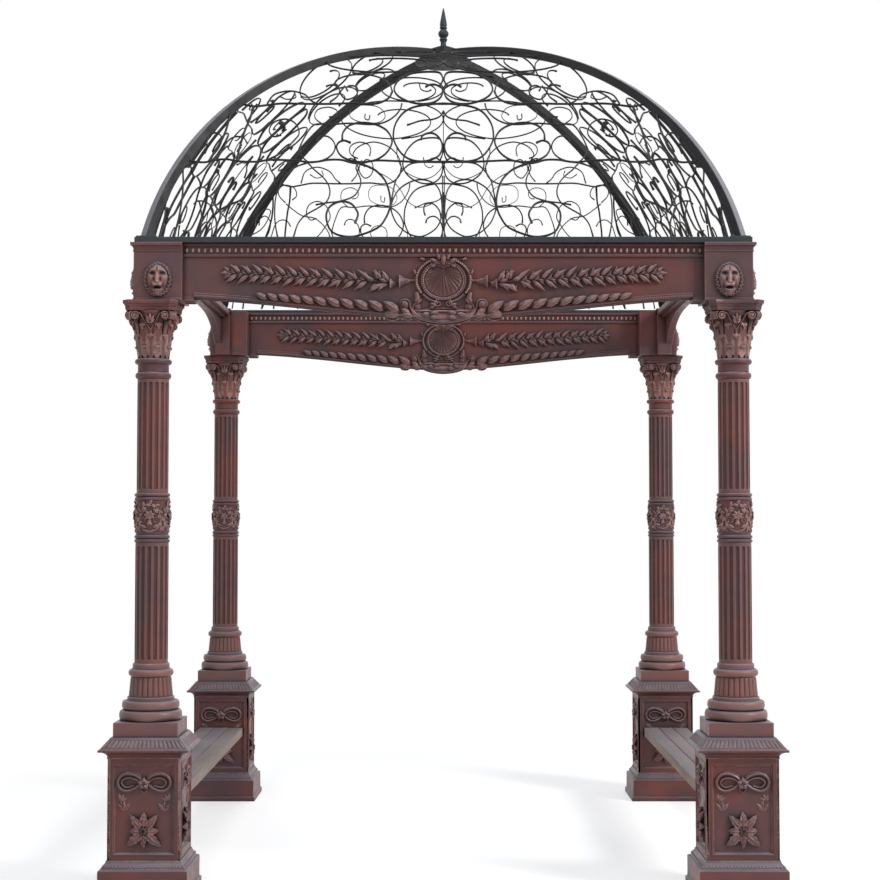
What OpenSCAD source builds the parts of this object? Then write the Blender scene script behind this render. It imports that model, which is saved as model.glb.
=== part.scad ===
// Square four-column garden gazebo: cast iron pedestals, columns, corner blocks
// and beams, with a wrought iron dome of ribs and scrollwork and two benches.
// Millimetres, +Z up, origin on the ground at the middle of the plan.
// The front faces -Y.

/* [Plan] */
// Distance between neighbouring column axes
column_spacing = 2600; // [2300:10:3000]

/* [Pedestal] */
// Side of the foot
foot_w = 404; // [392:1:430]
// Height of the foot
foot_h = 26; // [16:1:40]
// Side of the band above the foot
band_w = 380; // [345:1:390]
// Height of the band above the foot
band_h = 99; // [70:1:130]
// Height of the slope above the band
slope_h = 35; // [20:1:50]
// Side of the die, the square body of the pedestal
die_w = 318; // [300:1:335]
// Height of the die
die_h = 440; // [410:1:520]
// Width of the sunk panel on each face of the die
panel_w = 255; // [240:1:280]
// Height of the sunk panel
panel_h = 370; // [360:1:400]
// Depth of the sunk panel
panel_d = 8; // [5:1:12]
// Height of the cove under the cap
cove_h = 29; // [20:1:40]
// Side of the cap
cap_w = 394; // [380:1:420]
// Height of the cap's lip
lip_h = 11; // [6:1:20]
// Height of the cap's slope
cap_slope_h = 48; // [35:1:60]
// Side of the flat on top of the cap
cap_top_w = 300; // [290:1:330]

/* [Pedestal ornament] */
// Radius of the leafy rosette
rosette_r = 86; // [70:1:88]
// Height of the rosette's centre above the foot of the panel
rosette_z = 92; // [90:1:98]
// Number of petals in the rosette
petals = 8; // [6:1:10]
// Radius of each loop of the bow
bow_r = 38; // [28:1:44]
// Height of the bow above the foot of the panel
bow_z = 300; // [280:1:315]
// Width of the bow's ribbon
ribbon_w = 14; // [8:1:18]

/* [Column base] */
// Side of the plinth
plinth_w = 282; // [278:1:288]
// Height of the plinth
plinth_h = 63; // [45:1:80]
// Outer radius of the lower torus
torus_1_r = 138.5; // [130:0.5:138.5]
// Height of the lower torus
torus_1_h = 44; // [30:1:55]
// Outer radius of the second torus
torus_2_r = 125.5; // [115:0.5:130]
// Height of the second torus
torus_2_h = 42; // [30:1:55]
// Radius of the ring above the tori
base_ring_r = 103.5; // [100:0.5:110]
// Height of that ring
base_ring_h = 18; // [10:1:25]
// Radius at the foot of the fluted bell
bell_foot_r = 98.5; // [92:0.5:100]
// Radius at the top of the fluted bell
bell_top_r = 89.5; // [84:0.5:91]
// Height of the fluted bell
bell_h = 86; // [60:1:110]
// Outer radius of the upper torus
torus_3_r = 99.5; // [95:0.5:108]
// Height of the upper torus
torus_3_h = 36; // [26:1:44]
// Radius of the top ring
top_ring_r = 81.5; // [79:0.5:88]
// Height of the top ring
top_ring_h = 25; // [15:1:35]

/* [Column] */
// Radius of the lower shaft
lower_r = 73.5; // [71:0.5:76]
// Length of the lower shaft
lower_h = 531; // [400:1:700]
// Radius of the collar's drum
drum_r = 75; // [74:0.5:77]
// Radius of the collar's rings
collar_ring_r = 79; // [78:0.5:84]
// Height of each of the collar's rings
collar_ring_h = 18; // [10:1:24]
// Height of the collar, rings and all
collar_h = 222; // [180:1:280]
// Radius of the upper shaft
upper_r = 70; // [67:0.5:73]
// Length of the upper shaft
upper_h = 507; // [400:1:700]
// Number of flutes round a shaft
flutes = 16; // [12:1:18]
// Radius of each flute
flute_r = 9.5; // [6:0.5:10]

/* [Capital] */
// Outer radius of the lower astragal
astragal_1_r = 80; // [76:0.5:84]
// Height of the lower astragal
astragal_1_h = 34; // [20:1:40]
// Radius of the neck between the astragals
neck_r = 69; // [66:0.5:72]
// Height of the neck
neck_h = 33; // [20:1:45]
// Outer radius of the upper astragal
astragal_2_r = 82.5; // [79:0.5:86]
// Height of the upper astragal
astragal_2_h = 26; // [18:1:34]
// Height of the capital's bell, up to the abacus
capital_bell_h = 208; // [200:1:250]
// Radius at the foot of the bell
bell_low_r = 64; // [60:0.5:68]
// Radius at the top of the bell
bell_high_r = 84; // [80:0.5:90]
// Side of the abacus, before its sides are hollowed
abacus_w = 246; // [232:1:254]
// Height of the abacus
abacus_h = 47; // [36:1:60]
// How far the middle of each abacus side is hollowed in
abacus_hollow = 22; // [12:1:28]
// Width of the leaves round the bell
leaf_w = 50; // [40:1:54]
// How far a leaf's tip curls out
leaf_curl = 24; // [16:1:28]
// Radius of the corner scrolls
volute_r = 21; // [16:1:24]

/* [Corner block] */
// Side of the corner block
block_w = 216; // [210:1:228]
// Height of the corner block
block_h = 260; // [240:1:290]
// How far the block sits inward of the column axis
block_inset = 29; // [22:1:36]
// Height of the block's cornice
cornice_h = 42; // [30:1:50]
// How far the cornice stands out
cornice_out = 10; // [6:1:14]
// Radius of the lion mask with its mane
mask_r = 66; // [55:1:72]
// How far the mask's centre sits below the middle of its face
mask_drop = 12; // [0:1:20]
// Thickness of the mane
mane_t = 12; // [8:1:16]

/* [Beam] */
// Thickness of the beam
beam_t = 84; // [70:1:90]
// Distance from the steel frame's outer side back to the beam's face
beam_setback = 31; // [24:1:36]
// Depth of the beam where it meets the blocks
beam_end_h = 241; // [225:1:250]
// How far the lower edge hangs down at midspan
beam_sag = 96; // [60:1:120]
// Length of the tongue beside each block
tongue_l = 50; // [30:1:80]
// How far the tongue hangs below the beam's end
tongue_h = 19; // [8:1:24]
// Height of each fillet along the top
fillet_h = 14; // [8:1:18]
// How far fillets and ornament stand out of the beam's face
relief = 9; // [5:1:12]
// Half the width of the oval cartouche, beads and all
cartouche_w = 136; // [120:1:145]
// Half the height of the cartouche
cartouche_h = 113; // [95:1:115]
// Width of the leaf rope where it meets the middle
rope_w = 56; // [30:1:64]
// Radius of the rolled end of the leaf rope
rope_end_r = 26; // [20:1:30]
// Width of the boat-shaped plaque under the cartouche
plaque_w = 286; // [240:2:320]
// Thickness of the plaque in its middle
plaque_t = 42; // [30:1:50]
// How far the plaque hangs below the beam
plaque_drop = 20; // [10:1:26]
// How far the leaf rope reaches from midspan
rope_reach = 860; // [700:10:950]
// Reach of each garland from the middle of the beam
garland_reach = 960; // [800:10:1000]

/* [Side arches] */
// Thickness of the side beams' plate
arch_t = 34; // [20:1:50]
// Depth of the side beams' plate at midspan
arch_mid_h = 54; // [50:1:90]
// Depth of the side beams' plate beside the tongues
arch_end_h = 200; // [150:1:230]
// How late the arch turns down towards its ends
arch_power = 5.5; // [2:0.5:8]
// Depth of the rail along the inside of the side beams
arch_rail_h = 29; // [20:1:40]
// Width and depth of the step between that rail and the plate
arch_step = 13; // [8:1:20]

/* [Dome] */
// Height of the steel frame on top of the beams
frame_h = 26; // [15:1:40]
// Width of the frame's bars
frame_w = 62; // [58:1:80]
// How far the frame's outer side stands back from the blocks' outer faces
frame_back = 2; // [0:1:8]
// How far the feet of the ribs stand in from the frame's outer side
rib_setback = 31; // [25:1:36]
// Rise of the dome above the frame
dome_rise = 1215; // [1000:5:1400]
// Radius of the dome's side profile
dome_r = 1554; // [1540:1:1620]
// Side of the square tube of the ribs
rib_w = 42; // [34:1:50]
// Thickness of the scroll bars
bar_t = 10; // [8:1:14]
// Radius of the small scrolls, as a share of their tier's height
small_share = 0.29; // [0.26:0.01:0.32]
// Radius of the large scrolls between them
large_share = 0.44; // [0.40:0.01:0.46]
// Radius of the rings on top of the small scrolls
top_share = 0.19; // [0.16:0.01:0.20]
// Half the width of the crown where the ribs meet
crown_half = 62; // [50:1:80]
// Radius of the round plate under the crown
crown_plate_r = 150; // [132:1:152]
// Thickness of the round plate
crown_plate_t = 10; // [6:1:14]
// Height of the finial
finial_h = 228; // [180:1:280]
// Radius of the finial's flange
finial_r = 33; // [26:1:40]

/* [Benches] */
// Height of the seat
seat_z = 421; // [380:1:480]
// Thickness of the seat planks
seat_t = 50; // [35:1:60]
// Width of the seat
seat_w = 250; // [220:1:300]

/* [Hidden] */
$fn = 48;

iron = "#6B4A4A";
charcoal = "#2C2C30";
steel = "#434A50";
plank = "#7D7468";

// The four corners of the plan, as signs of X and Y
FL = [-1, -1];
FR = [1, -1];
BL = [-1, 1];
BR = [1, 1];

column_x = column_spacing / 2;

// Heights of the parts of one column, from the ground up
die_z = foot_h + band_h + slope_h;
cove_z = die_z + die_h;
plinth_z = cove_z + cove_h + lip_h + cap_slope_h;
base_h = plinth_h + torus_1_h + torus_2_h + base_ring_h + bell_h + torus_3_h + top_ring_h;
lower_z = plinth_z + base_h;
collar_z = lower_z + lower_h;
upper_z = collar_z + collar_h;
capital_z = upper_z + upper_h;
neck_z = astragal_1_h;
capital_bell_z = neck_z + neck_h + astragal_2_h;
abacus_z = capital_bell_z + capital_bell_h;
block_z = capital_z + abacus_z + abacus_h;
beam_top_z = block_z + block_h;
dome_z = beam_top_z + frame_h;

// Panel on the die
panel_z = die_z + (die_h - panel_h) / 2;

// Corner blocks and beams
block_x = column_x - block_inset;
block_inner = block_x - block_w / 2;
block_outer = block_x + block_w / 2;
beam_half = block_inner;
frame_reach = block_outer - frame_back;
beam_y = frame_reach - beam_setback - beam_t / 2;

// Dome profile: one arc through the foot of the ribs and the apex
rib_foot = frame_reach - rib_setback;
foot_mid = [rib_foot / 2, dome_rise / 2];
foot_chord = norm([rib_foot, dome_rise]);
foot_drop = sqrt(dome_r * dome_r - foot_chord * foot_chord / 4);
dome_c = foot_mid - foot_drop * [dome_rise, rib_foot] / foot_chord;
angle_foot = asin(-dome_c.y / dome_r);
angle_top = acos(-dome_c.x / dome_r);
// The ribs' outer face at the crown, and the crown's depth
crown_edge_angle = acos((crown_half - dome_c.x) / dome_r);
crown_h = dome_rise - (dome_c.y + dome_r * sin(crown_edge_angle)) + rib_w + 8;
// Gap between one tier of scrolls and the next
tier_gap = 4;

// A square moulding: one outline of [half width, height] points on all four sides
module square_moulding(outline) {
    mirrored = [for (i = [len(outline) - 1 : -1 : 0]) [-outline[i].x, outline[i].y]];
    widest = max([for (p = outline) p.x]);
    intersection_for (turn = [0, 90])
        rotate([90, 0, turn])
            linear_extrude(2 * widest, center = true)
                polygon(concat(outline, mirrored));
}

// Half outline of a round-edged ring, from height z up
module torus_2d(r, z, h) {
    translate([0, z])
        square([r - h / 2, h]);
    translate([r - h / 2, z + h / 2])
        intersection() {
            circle(d = h);
            translate([0, -h / 2])
                square(h);
        }
}

// Half outline of a plain drum
module drum_2d(r, z, h) {
    translate([0, z])
        square([r, h]);
}

// Places its children at one corner of the plan, at the column's axis
module at_column(corner, z) {
    translate([corner.x * column_x, corner.y * column_x, z])
        children();
}

// ---- Pedestal ----

rosette_petal_r = 1.2 * rosette_r * sin(180 / petals) / (1 + sin(180 / petals));

module rosette_2d() {
    for (i = [0 : petals - 1])
        rotate(i * 360 / petals)
            translate([rosette_r - rosette_petal_r, 0])
                circle(rosette_petal_r);
    circle(rosette_r - rosette_petal_r);
}

module bow_2d() {
    for (side = [-1, 1]) {
        translate([side * bow_r, 0])
            difference() {
                circle(bow_r);
                circle(bow_r - ribbon_w);
            }
        rotate(side * 35)
            translate([-ribbon_w / 2, -1.7 * bow_r])
                square([ribbon_w, 1.7 * bow_r]);
    }
    circle(ribbon_w);
}

// Ornament on one sunk panel, standing on the panel's floor and facing -Y
module panel_ornament() {
    proud = 4;
    translate([0, panel_d - die_w / 2, panel_z])
        rotate([90, 0, 0])
            linear_extrude(panel_d + proud) {
                translate([0, rosette_z])
                    rosette_2d();
                translate([0, bow_z])
                    bow_2d();
            }
}

module pedestal(corner) {
    half_die = die_w / 2;
    cove_out = cap_w / 2 - half_die;
    cove = [for (t = [0 : 15 : 90])
        [half_die + cove_out * (1 - cos(t)), cove_z + cove_h * sin(t)]];
    outline = concat(
        [
            [foot_w / 2, 0],
            [foot_w / 2, foot_h],
            [band_w / 2, foot_h],
            [band_w / 2, foot_h + band_h],
            [half_die, die_z]
        ],
        cove,
        [
            [cap_w / 2, cove_z + cove_h + lip_h],
            [cap_top_w / 2, plinth_z]
        ]
    );
    color(iron)
        at_column(corner, 0) {
            difference() {
                square_moulding(outline);
                for (turn = [0 : 90 : 270])
                    rotate(turn)
                        translate([-panel_w / 2, -half_die - 1, panel_z])
                            cube([panel_w, panel_d + 1, panel_h]);
            }
            for (turn = [0 : 90 : 270])
                rotate(turn)
                    panel_ornament();
        }
}

// ---- Column ----

module column_base(corner) {
    z1 = plinth_h;
    z2 = z1 + torus_1_h;
    z3 = z2 + torus_2_h;
    z4 = z3 + base_ring_h;
    z5 = z4 + bell_h;
    z6 = z5 + torus_3_h;
    color(iron)
        at_column(corner, plinth_z) {
            translate([-plinth_w / 2, -plinth_w / 2, 0])
                cube([plinth_w, plinth_w, plinth_h]);
            rotate_extrude() {
                torus_2d(torus_1_r, z1, torus_1_h);
                torus_2d(torus_2_r, z2, torus_2_h);
                drum_2d(base_ring_r, z3, base_ring_h);
                polygon([[0, z4], [bell_foot_r, z4], [bell_top_r, z5], [0, z5]]);
                torus_2d(torus_3_r, z5, torus_3_h);
                drum_2d(top_ring_r, z6, top_ring_h);
            }
        }
}

// A fluted shaft standing on z = 0
module fluted_shaft(r, h) {
    flute_depth = 6;
    linear_extrude(h)
        difference() {
            circle(r);
            for (i = [0 : flutes - 1])
                rotate(i * 360 / flutes)
                    translate([r + flute_r - flute_depth, 0])
                        circle(flute_r);
        }
}

module lower_shaft(corner) {
    color(iron)
        at_column(corner, lower_z)
            fluted_shaft(lower_r, lower_h);
}

module collar(corner) {
    color(iron)
        at_column(corner, collar_z)
            rotate_extrude() {
                drum_2d(drum_r, 0, collar_h);
                for (z = [0, collar_ring_h, collar_h - 2 * collar_ring_h, collar_h - collar_ring_h])
                    torus_2d(collar_ring_r, z, collar_ring_h);
            }
}

module upper_shaft(corner) {
    color(iron)
        at_column(corner, upper_z)
            fluted_shaft(upper_r, upper_h);
}

// ---- Capital ----

// A ring of leaves that hug the bell and curl out at the tip
module leaf_ring(count, turn, h) {
    r_low = bell_low_r + 7;
    r_high = bell_low_r + (bell_high_r - bell_low_r) * h / capital_bell_h + 7;
    intersection() {
        rotate_extrude()
            polygon([
                [0, 0],
                [r_low, 0],
                [r_high, 0.7 * h],
                [r_high + 0.6 * leaf_curl, 0.85 * h],
                [r_high + leaf_curl, h],
                [0, h]
            ]);
        for (i = [0 : count - 1])
            rotate([90, 0, turn + i * 360 / count])
                linear_extrude(r_high + leaf_curl + 1) {
                    translate([-leaf_w / 2, 0])
                        square([leaf_w, h - leaf_w / 2]);
                    translate([0, h - leaf_w / 2])
                        circle(leaf_w / 2);
                }
    }
}

// Plan of the abacus: four hollowed sides with canted corners
module abacus_2d(w) {
    chord = w / 2;
    hollow_r = (chord * chord + abacus_hollow * abacus_hollow) / (2 * abacus_hollow);
    intersection() {
        difference() {
            square(w, center = true);
            for (turn = [0 : 90 : 270])
                rotate(turn)
                    translate([w / 2 - abacus_hollow + hollow_r, 0])
                        circle(hollow_r, $fn = 96);
        }
        rotate(45)
            square(1.26 * w, center = true);
    }
}

module capital(corner) {
    volute_reach = 0.57 * abacus_w;
    volute_t = 30;
    // The scrolls run a little way up into the abacus
    volute_z = abacus_z - volute_r + 3;
    step_h = 0.42 * abacus_h;
    step_in = 8;
    color(iron)
        at_column(corner, capital_z) {
            rotate_extrude() {
                torus_2d(astragal_1_r, 0, astragal_1_h);
                drum_2d(neck_r, neck_z, neck_h);
                torus_2d(astragal_2_r, neck_z + neck_h, astragal_2_h);
            }
            translate([0, 0, capital_bell_z]) {
                cylinder(h = capital_bell_h, r1 = bell_low_r, r2 = bell_high_r);
                leaf_ring(8, 0, 0.45 * capital_bell_h);
                leaf_ring(8, 22.5, 0.75 * capital_bell_h);
            }
            for (turn = [45 : 90 : 315])
                rotate(turn) {
                    translate([volute_reach, volute_t / 2, volute_z])
                        rotate([90, 0, 0])
                            cylinder(h = volute_t, r = volute_r);
                    translate([0, -volute_t / 2, volute_z])
                        cube([volute_reach, volute_t, volute_r]);
                }
            translate([0, 0, abacus_z]) {
                linear_extrude(step_h)
                    abacus_2d(abacus_w - 2 * step_in);
                translate([0, 0, step_h])
                    linear_extrude(abacus_h - step_h)
                        abacus_2d(abacus_w);
            }
        }
}

// ---- Corner block ----

// Lion mask on a wall at y = 0, looking along -Y
module lion_mask() {
    locks = 14;
    lock_r = 0.24 * mask_r;
    head_r = 0.66 * mask_r;
    // Place and radius of each round form, as shares of the head's radius
    forms = [
        [0, 0.42, 0, 1],
        [0, -0.26, -0.34, 0.42],
        [0, -0.24, -0.72, 0.26]
    ];
    // Brow, cheek and ear of the right half
    side_forms = [
        [0.36, -0.28, 0.4, 0.26],
        [0.3, -0.42, -0.42, 0.25],
        [0.8, -0.1, 0.86, 0.3]
    ];
    rotate([90, 0, 0])
        linear_extrude(mane_t) {
            for (i = [0 : locks - 1])
                rotate((i + 0.5) * 360 / locks)
                    translate([mask_r - lock_r, 0])
                        circle(lock_r);
            circle(mask_r - lock_r);
        }
    for (form = forms)
        translate(head_r * [form[0], form[1], form[2]])
            sphere(head_r * form[3]);
    for (side = [-1, 1], form = side_forms)
        translate(head_r * [side * form[0], form[1], form[2]])
            sphere(head_r * form[3]);
}

module corner_block(corner) {
    half = block_w / 2;
    edge = half + cornice_out;
    mask_z = (block_h - cornice_h) / 2 - mask_drop;
    outline = [
        [half, 0],
        [half, block_h - cornice_h],
        [half + 0.5 * cornice_out, block_h - cornice_h],
        [half + 0.5 * cornice_out, block_h - 0.5 * cornice_h],
        [edge, block_h - 0.3 * cornice_h],
        [edge, block_h]
    ];
    color(iron)
        translate([corner.x * block_x, corner.y * block_x, block_z]) {
            // The cornice stops at the two inner faces, where the beams meet them
            intersection() {
                square_moulding(outline);
                translate([corner.x > 0 ? -half : -edge, corner.y > 0 ? -half : -edge, 0])
                    cube([half + edge, half + edge, block_h]);
            }
            translate([0, corner.y * half, mask_z])
                rotate(corner.y < 0 ? 0 : 180)
                    lion_mask();
            translate([corner.x * half, 0, mask_z])
                rotate(corner.x < 0 ? -90 : 90)
                    lion_mask();
        }
}

// ---- Beams ----

// Depth of the beam below its top, at distance u from midspan
function beam_depth(u) =
    let (t = min(1, abs(u) / (beam_half - tongue_l)))
    beam_end_h + beam_sag * (0.55 * (1 - t) + 0.45 * (1 + cos(180 * t)) / 2);

beam_steps = 24;
beam_edge = [for (i = [-beam_steps / 2 : beam_steps / 2])
    let (u = i * 2 * (beam_half - tongue_l) / beam_steps) [u, -beam_depth(u)]];

tongue_z = -beam_end_h - tongue_h;

module beam_2d() {
    polygon(concat(
        [[-beam_half, 0], [-beam_half, tongue_z], [-beam_half + tongue_l, tongue_z]],
        beam_edge,
        [[beam_half - tongue_l, tongue_z], [beam_half, tongue_z], [beam_half, 0]]
    ));
}

// Leaf rope along the hanging lower edge, thicker towards the middle
module rope_2d() {
    steps = 20;
    us = [for (i = [-steps / 2 : steps / 2]) 2 * i * rope_reach / steps];
    low = [for (u = us) [u, -beam_depth(u)]];
    high = [for (i = [steps : -1 : 0])
        let (share = 1 - abs(us[i]) / rope_reach)
        low[i] + [0, rope_w * (0.4 + 0.6 * share)]];
    polygon(concat(low, high));
}

cartouche_z = -66 - cartouche_h + 12;

// Oval with round ends, given its half width and half height
module oval_2d(w, h) {
    for (side = [-1, 1])
        translate([side * (w - h), 0])
            circle(h);
    square([2 * (w - h), 2 * h], center = true);
}

// Laurel garlands, which widen and sink towards the cartouche
module garlands_2d() {
    leaves = 14;
    near = cartouche_w + 120;
    for (side = [-1, 1], i = [0 : leaves - 1]) {
        t = i / (leaves - 1);
        u = garland_reach + (near - garland_reach) * t;
        translate([side * u, -134 - 34 * t])
            circle(30 + 14 * sin(180 * t));
    }
}

// Two bell drops between each garland and the cartouche
module drops_2d() {
    for (side = [-1, 1], u = [46, 88])
        translate([side * (cartouche_w + u), cartouche_z - 6])
            polygon([[-side * 22, -8], [side * 14, -28], [side * 14, 28], [-side * 22, 8]]);
}

// Boat-shaped plaque under the cartouche, with a boss and a rolled rope end on each side
module plaque_2d() {
    bottom = beam_end_h + beam_sag + plaque_drop;
    sweep_r = 310;
    half_w = plaque_w / 2;
    boss_r = 0.65 * rope_end_r;
    boss_z = 2 * rope_end_r + plaque_t / 2 + 6;
    intersection() {
        translate([0, sweep_r - bottom])
            difference() {
                circle(sweep_r, $fn = 96);
                translate([0, plaque_t])
                    circle(sweep_r, $fn = 96);
            }
        translate([-half_w, -bottom])
            square([plaque_w, 2 * half_w]);
    }
    for (side = [-1, 1]) {
        translate([side * (half_w - rope_end_r), boss_z - bottom])
            circle(boss_r);
        translate([side * (half_w + 1.2 * rope_end_r), boss_z + 6 - bottom])
            circle(rope_end_r);
    }
}

// One beam along X with its top at z = 0 and its middle plane at y = 0
module beam() {
    face_t = beam_t + 2 * relief;
    rotate([90, 0, 0]) {
        linear_extrude(beam_t, center = true)
            beam_2d();
        linear_extrude(face_t, center = true) {
            rope_2d();
            garlands_2d();
            drops_2d();
            translate([0, cartouche_z])
                oval_2d(cartouche_w, cartouche_h);
            for (z = [0, -3.6 * fillet_h])
                translate([-beam_half, z - fillet_h])
                    square([2 * beam_half, fillet_h]);
        }
        linear_extrude(face_t + 12, center = true) {
            plaque_2d();
            translate([0, cartouche_z])
                difference() {
                    oval_2d(cartouche_w - 6, cartouche_h - 6);
                    oval_2d(cartouche_w - 36, cartouche_h - 30);
                }
        }
    }
    for (side = [-1, 1])
        bead_row(side);
}

// Bead row under the top fillet
module bead_row(side) {
    translate([-beam_half, side * beam_t / 2, -2.3 * fillet_h])
        rotate([0, 90, 0])
            cylinder(h = 2 * beam_half, r = 0.65 * fillet_h);
}

// Depth of a side beam's plate below its top, at distance u from midspan
function arch_depth(u) =
    let (t = min(1, abs(u) / (beam_half - tongue_l)))
    arch_mid_h + (arch_end_h - arch_mid_h) * pow(t, arch_power);

arch_edge = [for (i = [-beam_steps / 2 : beam_steps / 2])
    let (u = i * 2 * (beam_half - tongue_l) / beam_steps) [u, -arch_depth(u)]];

module arch_2d() {
    polygon(concat(
        [[-beam_half, 0], [-beam_half, tongue_z], [-beam_half + tongue_l, tongue_z]],
        arch_edge,
        [[beam_half - tongue_l, tongue_z], [beam_half, tongue_z], [beam_half, 0]]
    ));
}

// Strip along the top of the beam, as deep as h
module rail_2d(h) {
    translate([-beam_half, -h])
        square([2 * beam_half, h]);
}

// One side beam: an arched plate with rails and tongues that reach its inner side
module arched_beam() {
    step_t = arch_t + 2 * arch_step;
    rotate([90, 0, 0]) {
        translate([0, 0, beam_t / 2 - arch_t])
            linear_extrude(arch_t)
                arch_2d();
        translate([0, 0, beam_t / 2 - step_t])
            linear_extrude(step_t)
                rail_2d(arch_rail_h + arch_step);
        linear_extrude(beam_t, center = true) {
            rail_2d(arch_rail_h);
            for (side = [-1, 1])
                translate([side * (beam_half - tongue_l / 2), tongue_z / 2])
                    square([tongue_l, -tongue_z], center = true);
        }
        translate([0, 0, beam_t / 2])
            linear_extrude(relief)
                rail_2d(fillet_h);
    }
    bead_row(-1);
}

module beam_at(turn) {
    color(iron)
        rotate(turn)
            translate([0, -beam_y, beam_top_z])
                children();
}

module front_beam() {
    beam_at(0)
        beam();
}

module back_beam() {
    beam_at(180)
        beam();
}

module left_beam() {
    beam_at(-90)
        arched_beam();
}

module right_beam() {
    beam_at(90)
        arched_beam();
}

// ---- Dome ----

module dome_frame() {
    inner = 2 * (frame_reach - frame_w);
    color(steel)
        translate([0, 0, beam_top_z])
            linear_extrude(frame_h)
                difference() {
                    square(2 * frame_reach, center = true);
                    square(inner, center = true);
                }
}

// Points of a rib's edge in its own upright plane, moved in by a depth
function rib_edge(depth, steps = 24) =
    [for (i = [0 : steps])
        let (
            a = angle_foot - 3 + (angle_top - angle_foot + 3) * i / steps,
            run = sqrt(2) * (dome_c.x + dome_r * cos(a)),
            rise = dome_c.y + dome_r * sin(a),
            n = [cos(a), sqrt(2) * sin(a)]
        )
        [run, rise] - depth * n / norm(n)];

module rib_2d() {
    outer = rib_edge(0);
    inner = rib_edge(rib_w);
    inward = [for (i = [len(inner) - 1 : -1 : 0]) inner[i]];
    reach = 2 * rib_foot;
    intersection() {
        polygon(concat(outer, inward));
        translate([sqrt(2) * crown_half, 0])
            square(reach);
    }
}

module rib(corner) {
    color(charcoal)
        translate([0, 0, dome_z])
            rotate(atan2(corner.y, corner.x))
                rotate([90, 0, 0])
                    linear_extrude(rib_w, center = true)
                        rib_2d();
}

// The crown that the four ribs run into, on a round plate that they rest on
module crown() {
    color(charcoal)
        translate([0, 0, dome_z + dome_rise - crown_h - crown_plate_t]) {
            rotate(45)
                linear_extrude(crown_h + crown_plate_t)
                    square(2 * sqrt(2) * crown_half, center = true);
            cylinder(h = crown_plate_t, r = crown_plate_r, $fn = 96);
        }
}

module finial() {
    stem_r = 0.58 * finial_r;
    flange_h = 12;
    bulb_z = 0.3 * finial_h;
    bulb_h = 0.2 * finial_h;
    cone_z = bulb_z + bulb_h + 8;
    color(steel)
        translate([0, 0, dome_z + dome_rise])
            rotate_extrude() {
                drum_2d(finial_r, 0, flange_h);
                drum_2d(stem_r, flange_h, cone_z - flange_h);
                torus_2d(0.8 * finial_r, bulb_z, bulb_h);
                drum_2d(0.72 * finial_r, bulb_z + bulb_h, 8);
                polygon([[0, cone_z], [0.66 * finial_r, cone_z], [4, finial_h], [0, finial_h]]);
            }
}

// ---- Scrollwork ----

// Each side of the dome carries flat tiers of scrolls, set between angles of its arc
tier_share = [0, 0.225, 0.44, 0.63, 0.81, 1];
tiers = len(tier_share) - 1;
scroll_top_angle = angle_top - 8;
scroll_r = dome_r - rib_w / 2 + bar_t / 2;

// Point on the scrolls' outer face, as distance from the middle and height
function tier_point(i) =
    let (a = angle_foot + (scroll_top_angle - angle_foot) * tier_share[i])
    dome_c + scroll_r * [cos(a), sin(a)];

// One bar bent to part of a circle, from angle a0 through a sweep
module arc_bar(r, a0, sweep) {
    fan = [for (k = [0 : 8]) 2 * r * [cos(a0 + k * sweep / 8), sin(a0 + k * sweep / 8)]];
    corner = abs(sweep) < 360 ? [[0, 0]] : [];
    intersection() {
        difference() {
            circle(r);
            circle(r - bar_t);
        }
        polygon(concat(corner, fan));
    }
}

// A scroll: a wide bend that ends in a tighter curl and a knob
module scroll_2d(r, a0, way) {
    main_sweep = 285;
    curl_sweep = 230;
    curl_r = 0.46 * r;
    // The curl starts inside the wide bend, and not flush with it
    inset = 1;
    lap_turn = 4;
    a1 = a0 + way * main_sweep;
    a2 = a1 + way * curl_sweep;
    curl_c = (r - curl_r - inset) * [cos(a1), sin(a1)];
    arc_bar(r, a0, way * main_sweep);
    translate(curl_c) {
        arc_bar(curl_r, a1 - way * lap_turn, way * (curl_sweep + lap_turn));
        translate((curl_r - bar_t / 2) * [cos(a2), sin(a2)])
            circle(0.9 * bar_t);
    }
}

// A scroll where its whole circle has room, or a plain ring that the rib cuts off
module scroll_in(room, r, a0, way) {
    if (room > r)
        scroll_2d(r, a0, way);
    else if (room > 1.5 * bar_t - r)
        arc_bar(r, 0, 360);
}

// A row of scrolls standing on the tier's lower edge, wide and narrow in turn.
// low_w and high_w are half the tier's width at its foot and at its height h.
module tier_2d(h, low_w, high_w) {
    small = small_share * h;
    large = large_share * h;
    top = top_share * h;
    lap = bar_t / 2;
    step = 2 * sqrt(small * large) - lap;
    count = ceil(low_w / step) + 1;
    taper = (high_w - low_w) / h;
    // Distance from a point to the rib that closes the tier
    function rib_room(u, v) = (low_w + taper * v - u) / norm([1, taper]);
    for (mirrored = [0, 1])
        mirror([mirrored, 0])
            for (n = [0 : count - 1]) {
                narrow = n % 2 == 0;
                r = narrow ? small : large;
                u = small - lap / 2 + n * step;
                v_top = 2 * r + top - lap;
                translate([u, r])
                    scroll_in(rib_room(u, r), r, narrow ? 172 : 8, narrow ? 1 : -1);
                if (narrow)
                    translate([u, v_top])
                        scroll_in(rib_room(u, v_top), top, 172, 1);
            }
}

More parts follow.
